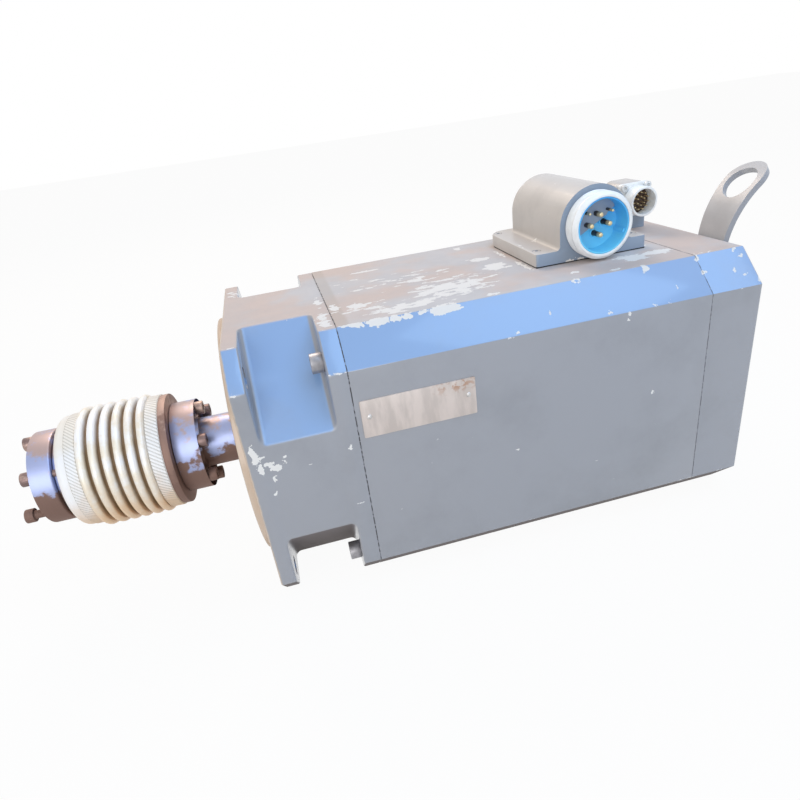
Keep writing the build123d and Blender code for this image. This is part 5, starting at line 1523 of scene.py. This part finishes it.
class MOTOR_OT_signal_connector(MotorPart, bpy.types.Operator):
    """Models the signal connector: block, flanged shell, dark insert and seventeen pins"""
    bl_idname = "motor.signal_connector"
    bl_label = "Signal connector"

    def make(self):
        low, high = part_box("signal_housing")
        base = HOUSING_HIGH.z
        body = block((low.x, low.y, base), (high.x, high.y, high.z))
        round_edges(body, lambda e: span(e, "y") > MM and middle(e).z > base + MM,
                    6.2 * MM, 6)
        round_edges(body, lambda e: sharp(e) and middle(e).z > base + MM, 0.8 * MM, 2)
        x = (low.x + high.x) / 2
        neck = rod((x, SIGNAL_NECK_Y, low.z), (x, SIGNAL_NECK_Y, base + MM), 7.95 * MM, 48)
        combine(body, neck, "UNION")
        insert_low, insert_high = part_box("signal_insert")
        axis = (insert_low + insert_high) / 2
        bore = 9.8 * MM
        depth = 17.5 * MM
        drill(body, (axis.x, high.y - depth, axis.z), (axis.x, high.y + MM, axis.z), bore, 64)
        finish(body, "signal_block", "motor", "hood_paint", made["finishes"].hood, "signal_housing")
        low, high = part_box("signal_shell")
        flange_face = low.y + 3 * MM
        half = (high.x - low.x) / 2
        flange = block((axis.x - half, low.y, axis.z - half),
                       (axis.x + half, flange_face, axis.z + half))
        round_edges(flange, lambda e: span(e, "y") > MM, 2.5 * MM, 4)
        round_edges(flange, lambda e: sharp(e) and middle(e).y > flange_face - MM / 10, 0.5 * MM, 2)
        outside = 11.5 * MM
        neck = outside - 0.5 * MM
        neck_end = flange_face + 3.5 * MM
        profile = [(flange_face - MM, 0), (flange_face - MM, neck), (neck_end, neck),
                   (neck_end + 0.3 * MM, outside)]
        pitch = 1.0 * MM
        groove = 0.35 * MM
        for i in range(8):
            x = neck_end + 0.8 * MM + i * pitch
            profile += [(x, outside), (x + 0.3 * pitch, outside - groove), (x + 0.7 * pitch, outside)]
        profile += [(high.y - 0.5 * MM, outside), (high.y, outside - 0.5 * MM), (high.y, 0)]
        barrel = stand(turned(profile, 72, closed=False), facing_y((axis.x, 0, axis.z)))
        combine(flange, barrel, "UNION")
        drill(flange, (axis.x, low.y - MM, axis.z), (axis.x, high.y + MM, axis.z), bore, 72)
        out = 10.2 * MM
        for x, z in product((axis.x - out, axis.x + out), (axis.z - out, axis.z + out)):
            drill(flange, (x, low.y - MM, z), (x, flange_face + MM / 2, z), M3_HOLE, 20)
        finish(flange, "signal_shell_ring", "motor", "shell_metal", made["finishes"].shell,
               "signal_shell")
        radius = 9.7 * MM
        plug = turned(((insert_low.y, 0), (insert_low.y, radius), (insert_high.y, radius),
                       (insert_high.y, 0)), 64, 0.5 * MM, 2, closed=False)
        stand(plug, facing_y((axis.x, 0, axis.z)))
        finish(plug, "signal_insert_disc", "motor", "socket_plastic", made["finishes"].socket,
               "signal_insert")
        low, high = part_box("signal_pins")
        radius = 0.5 * MM
        pin = turned(((low.y, 0), (low.y, radius), (high.y, radius), (high.y, 0)), 12, 0.2 * MM, 2,
                     closed=False)
        matrices = pin_matrices(axis, 6.6 * MM, [90 + 360 * i / 11 for i in range(11)])
        matrices += pin_matrices(axis, 3.3 * MM, [90 + 60 * i for i in range(6)])
        finish(copies(pin, matrices), "signal_pins_set", "motor", "contact_metal",
               made["finishes"].signal_pin, "signal_pins")


# Straight strips along the strap's bend
STRAP_STRIPS = 36


class MOTOR_OT_strap(MotorPart, bpy.types.Operator):
    """Models the bent lifting strap with its round eye"""
    bl_idname = "motor.strap"
    bl_label = "Lifting strap"

    def make(self):
        low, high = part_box("lifting_strap")
        thickness = 4.5 * MM
        width = 26.0 * MM
        rim = 16.6 * MM
        hole = 12.2 * MM
        bend = 65.0 * MM
        bend_start = HOUSING_HIGH.z - 11.5 * MM
        reach = bend * radians(62)
        eye_place = bend * radians(45.2)
        rim_place = reach - rim - 0.05 * MM
        face = COVER_LOW.x
        centre_y = (low.y + high.y) / 2
        foot = block((face - thickness, centre_y - width / 2, low.z),
                     (face, centre_y + width / 2, bend_start))
        blank_width = 40 * MM
        bar = self.flat_bar(thickness, blank_width, reach)
        outline = rod((-MM, 0, rim_place), (bend, 0, rim_place), rim, 96)
        arm = block((-2 * MM, -width / 2, -MM), (bend + MM, width / 2, rim_place))
        for vertex in arm.data.vertices:
            if vertex.co.z > 0:
                vertex.co.y *= 2 * rim / width
        combine(outline, arm, "UNION")
        combine(bar, outline, "INTERSECT")
        drill(bar, (-MM, 0, eye_place), (bend, 0, eye_place), hole, 72)
        round_edges(bar, lambda e: sharp(e, radians(60)) and middle(e).z > MM, 0.7 * MM, 2)
        strip = reach / STRAP_STRIPS
        for vertex in bar.data.vertices:
            out = bend + vertex.co.x - thickness / 2
            start = floor(vertex.co.z / strip) * strip
            share = (vertex.co.z - start) / strip
            first = start / bend
            last = (start + strip) / bend
            away = (1 - share) * cos(first) + share * cos(last)
            up = (1 - share) * sin(first) + share * sin(last)
            vertex.co = (face - thickness / 2 - bend + out * away, centre_y + vertex.co.y,
                         bend_start + out * up)
        combine(foot, bar, "UNION")
        finish(foot, "strap_bar", "motor", "strap_paint", made["finishes"].strap, "lifting_strap",
               smooth=20)

    def flat_bar(self, thickness, width, reach):
        """A straight bar in strips along Z, still to be cut and bent."""
        deselect()
        bpy.ops.mesh.primitive_grid_add(x_subdivisions=1, y_subdivisions=STRAP_STRIPS, size=1)
        bar = bpy.context.object
        bar.scale = (width, reach, 1)
        bpy.ops.object.transform_apply()
        stand(bar, Matrix.Translation((0, 0, reach / 2)) @ Matrix.Rotation(pi / 2, 4, "Z")
              @ Matrix.Rotation(pi / 2, 4, "X"))
        choose(bar)
        bpy.ops.object.modifier_add(type="SOLIDIFY")
        bar.modifiers[-1].thickness = thickness
        bar.modifiers[-1].offset = 0
        bpy.ops.object.modifier_apply(modifier=bar.modifiers[-1].name)
        return stand(bar, Matrix.Translation((thickness / 2, 0, 0)))


class MOTOR_OT_nameplate(MotorPart, bpy.types.Operator):
    """Models the bare nameplate and its two rivets"""
    bl_idname = "motor.nameplate"
    bl_label = "Nameplate"

    def make(self):
        low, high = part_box("nameplate")
        plate = block(low, high)
        round_edges(plate, lambda e: span(e, "y") > MM / 10, 0.8 * MM, 3)
        round_edges(plate, lambda e: sharp(e) and middle(e).y > high.y - MM / 10, 0.2 * MM, 2)
        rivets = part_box("nameplate_rivets")
        z = (rivets[0].z + rivets[1].z) / 2
        head = 1.7 * MM
        seats = [(x, high.y, z) for x in (rivets[0].x + head, rivets[1].x - head)]
        for seat in seats:
            drill(plate, (seat[0], low.y - MM, z), (seat[0], high.y + MM, z), 1.1 * MM, 24)
        finish(plate, "nameplate_sheet", "motor", "nameplate_metal", made["finishes"].plate, "nameplate")
        height = rivets[1].y - high.y
        shank = 1.0 * MM
        profile = [(low.y - high.y, 0), (low.y - high.y, shank), (0, shank), (0, head)]
        profile += [(height * sin(radians(a)), head * cos(radians(a))) for a in (25, 50, 75)]
        profile += [(height, 0)]
        rivet = turned(profile, 24, closed=False)
        finish(copies(rivet, [facing_y(seat) for seat in seats]), "nameplate_rivets_set", "motor",
               "rivet_metal", made["finishes"].rivet, "nameplate_rivets")


class MOTOR_OT_inner_parts(MotorPart, bpy.types.Operator):
    """Gives the CAD pieces inside the motor their finishes"""
    bl_idname = "motor.inner_parts"
    bl_label = "Inner parts"

    def make(self):
        finishes = made["finishes"]
        give(finishes.aluminium, "bearing_retainer", "rear_shield", "encoder_body")
        give(finishes.screw, "retainer_screws", "rear_shield_screws", "encoder_screws")
        give(finishes.bearing, "front_bearing_outer_race", "front_bearing_inner_race",
             "front_bearing_balls", "rear_bearing_outer_race", "rear_bearing_inner_race",
             "rear_bearing_balls", "preload_spring", "retaining_ring")
        give(finishes.sheets, "rotor_core", "stator_core")
        give(finishes.magnet, "rotor_magnets")
        give(finishes.brass, "balancing_rings")
        give(finishes.copper, "stator_winding")
        give(finishes.rubber, "shaft_seal", "connector_gasket")
        give(finishes.disc, "encoder_disc")


class MOTOR_OT_studio(MotorPart, bpy.types.Operator):
    """Sets the floor, the lamps, the world and the camera"""
    bl_idname = "motor.studio"
    bl_label = "Studio"

    def make(self):
        scene = bpy.context.scene
        settings = scene.motor_studio
        scene.view_settings.view_transform = "Standard"
        self.floor(scene.motor_colours)
        self.world()
        target = Vector((-0.15, 0.05, 0.05))
        self.lamp("sky_panel", (-0.72, 0.51, 1.19), target, 1.1, settings.sky_power, (0.45, 0.68, 1.0))
        self.lamp("warm_lamp", (0.05, -1.1, 1.2), target, 0.7, settings.sun_power, (1.0, 0.82, 0.68))
        self.lamp("fill_lamp", (0.45, 1.25, 0.45), target, 1.0, settings.fill_power, (1.0, 1.0, 1.0))
        camera_data = bpy.data.cameras.new("camera")
        camera_data.lens = settings.lens
        camera_data.sensor_width = 36.0
        camera_data.clip_start = 0.01
        camera = bpy.data.objects.new("camera", camera_data)
        scene.collection.objects.link(camera)
        camera.location = settings.camera_place
        camera.rotation_euler = settings.camera_turn
        scene.camera = camera

    def lamp(self, name, position, target, size, power, tint):
        """A square area lamp that looks at the target."""
        data = bpy.data.lights.new(name, "AREA")
        data.size = size
        data.energy = power
        data.color = tint
        lamp = bpy.data.objects.new(name, data)
        bpy.context.scene.collection.objects.link(lamp)
        lamp.location = position
        lamp.rotation_euler = (target - lamp.location).to_track_quat("-Z", "Y").to_euler()

    def pale_to_camera(self, shader, lit, strength):
        """A shader that the camera and mirrors see partly as plain white."""
        rays = shader.add("ShaderNodeLightPath").outputs
        seen = shader.math("ADD", rays["Is Camera Ray"], rays["Is Glossy Ray"], clamp=True)
        seen = shader.math("ADD", seen, rays["Is Transmission Ray"], clamp=True)
        white = shader.add(lit[0], lit[1])
        plain = shader.add(lit[2], lit[3])
        share = shader.times(seen, strength)
        return shader.add("ShaderNodeMixShader", {0: share, 1: white.outputs[0], 2: plain.outputs[0]})

    def floor(self, colours):
        """A wide pale floor that keeps the motor's shadow."""
        deselect()
        bpy.ops.mesh.primitive_plane_add(size=12, location=(0, 0, HOUSING_LOW.z))
        floor = bpy.context.object
        floor.name = "floor"
        material = bpy.data.materials.new("floor")
        material.use_nodes = True
        material.node_tree.nodes.clear()
        shader = Shader(material.node_tree)
        mixed = self.pale_to_camera(
            shader, ("ShaderNodeBsdfDiffuse", {"Color": colours.floor},
                     "ShaderNodeEmission", {"Color": (1.0, 1.0, 1.0), "Strength": 1.0}), 0.95)
        output = shader.add("ShaderNodeOutputMaterial")
        material.node_tree.links.new(mixed.outputs[0], output.inputs["Surface"])
        floor.data.materials.append(material)

    def world(self):
        """Soft even light from all round, seen as white."""
        world = bpy.data.worlds.new("studio")
        bpy.context.scene.world = world
        world.use_nodes = True
        world.node_tree.nodes.clear()
        shader = Shader(world.node_tree)
        mixed = self.pale_to_camera(
            shader, ("ShaderNodeBackground", {"Color": (1.0, 1.0, 1.0), "Strength": 0.42},
                     "ShaderNodeBackground", {"Color": (1.0, 1.0, 1.0), "Strength": 1.0}), 1.0)
        output = shader.add("ShaderNodeOutputWorld")
        world.node_tree.links.new(mixed.outputs[0], output.inputs["Surface"])


PROPERTY_GROUPS = {
    "motor_housing": MotorHousingSizes,
    "motor_connectors": MotorConnectorSizes,
    "motor_coupling": MotorCouplingSizes,
    "motor_colours": MotorColours,
    "motor_studio": MotorStudio,
}
OPERATORS = (
    MOTOR_OT_front_shield,
    MOTOR_OT_stator_housing,
    MOTOR_OT_rear_cover,
    MOTOR_OT_shaft,
    MOTOR_OT_hubs,
    MOTOR_OT_end_rings,
    MOTOR_OT_bellows,
    MOTOR_OT_power_connector,
    MOTOR_OT_signal_connector,
    MOTOR_OT_strap,
    MOTOR_OT_nameplate,
    MOTOR_OT_screws,
    MOTOR_OT_inner_parts,
    MOTOR_OT_studio,
)


class MOTOR_PT_panel(bpy.types.Panel):
    """Lists the motor's sizes, colours and operators"""
    bl_idname = "MOTOR_PT_panel"
    bl_label = "Servo motor"
    bl_space_type = "VIEW_3D"
    bl_region_type = "UI"
    bl_category = "Motor"

    def draw(self, context):
        for operator in OPERATORS:
            self.layout.operator(operator.bl_idname)
        for name, group in PROPERTY_GROUPS.items():
            box = self.layout.box()
            for setting in group.__annotations__:
                box.prop(getattr(context.scene, name), setting)


def register():
    """Registers the classes and hangs the settings on the scene."""
    for name, group in PROPERTY_GROUPS.items():
        bpy.utils.register_class(group)
        setattr(bpy.types.Scene, name, PointerProperty(type=group))
    for operator in OPERATORS:
        bpy.utils.register_class(operator)
    bpy.utils.register_class(MOTOR_PT_panel)


def unregister():
    """Takes the classes and settings away again."""
    bpy.utils.unregister_class(MOTOR_PT_panel)
    for operator in reversed(OPERATORS):
        bpy.utils.unregister_class(operator)
    for name, group in PROPERTY_GROUPS.items():
        delattr(bpy.types.Scene, name)
        bpy.utils.unregister_class(group)


def main():
    """Makes every piece in order."""
    register()
    scene = bpy.context.scene
    made["finishes"] = Finishes(scene.motor_colours, scene.motor_coupling)
    for operator in OPERATORS:
        group, name = operator.bl_idname.split(".")
        getattr(getattr(bpy.ops, group), name)()


if __name__ == "__main__":
    main()
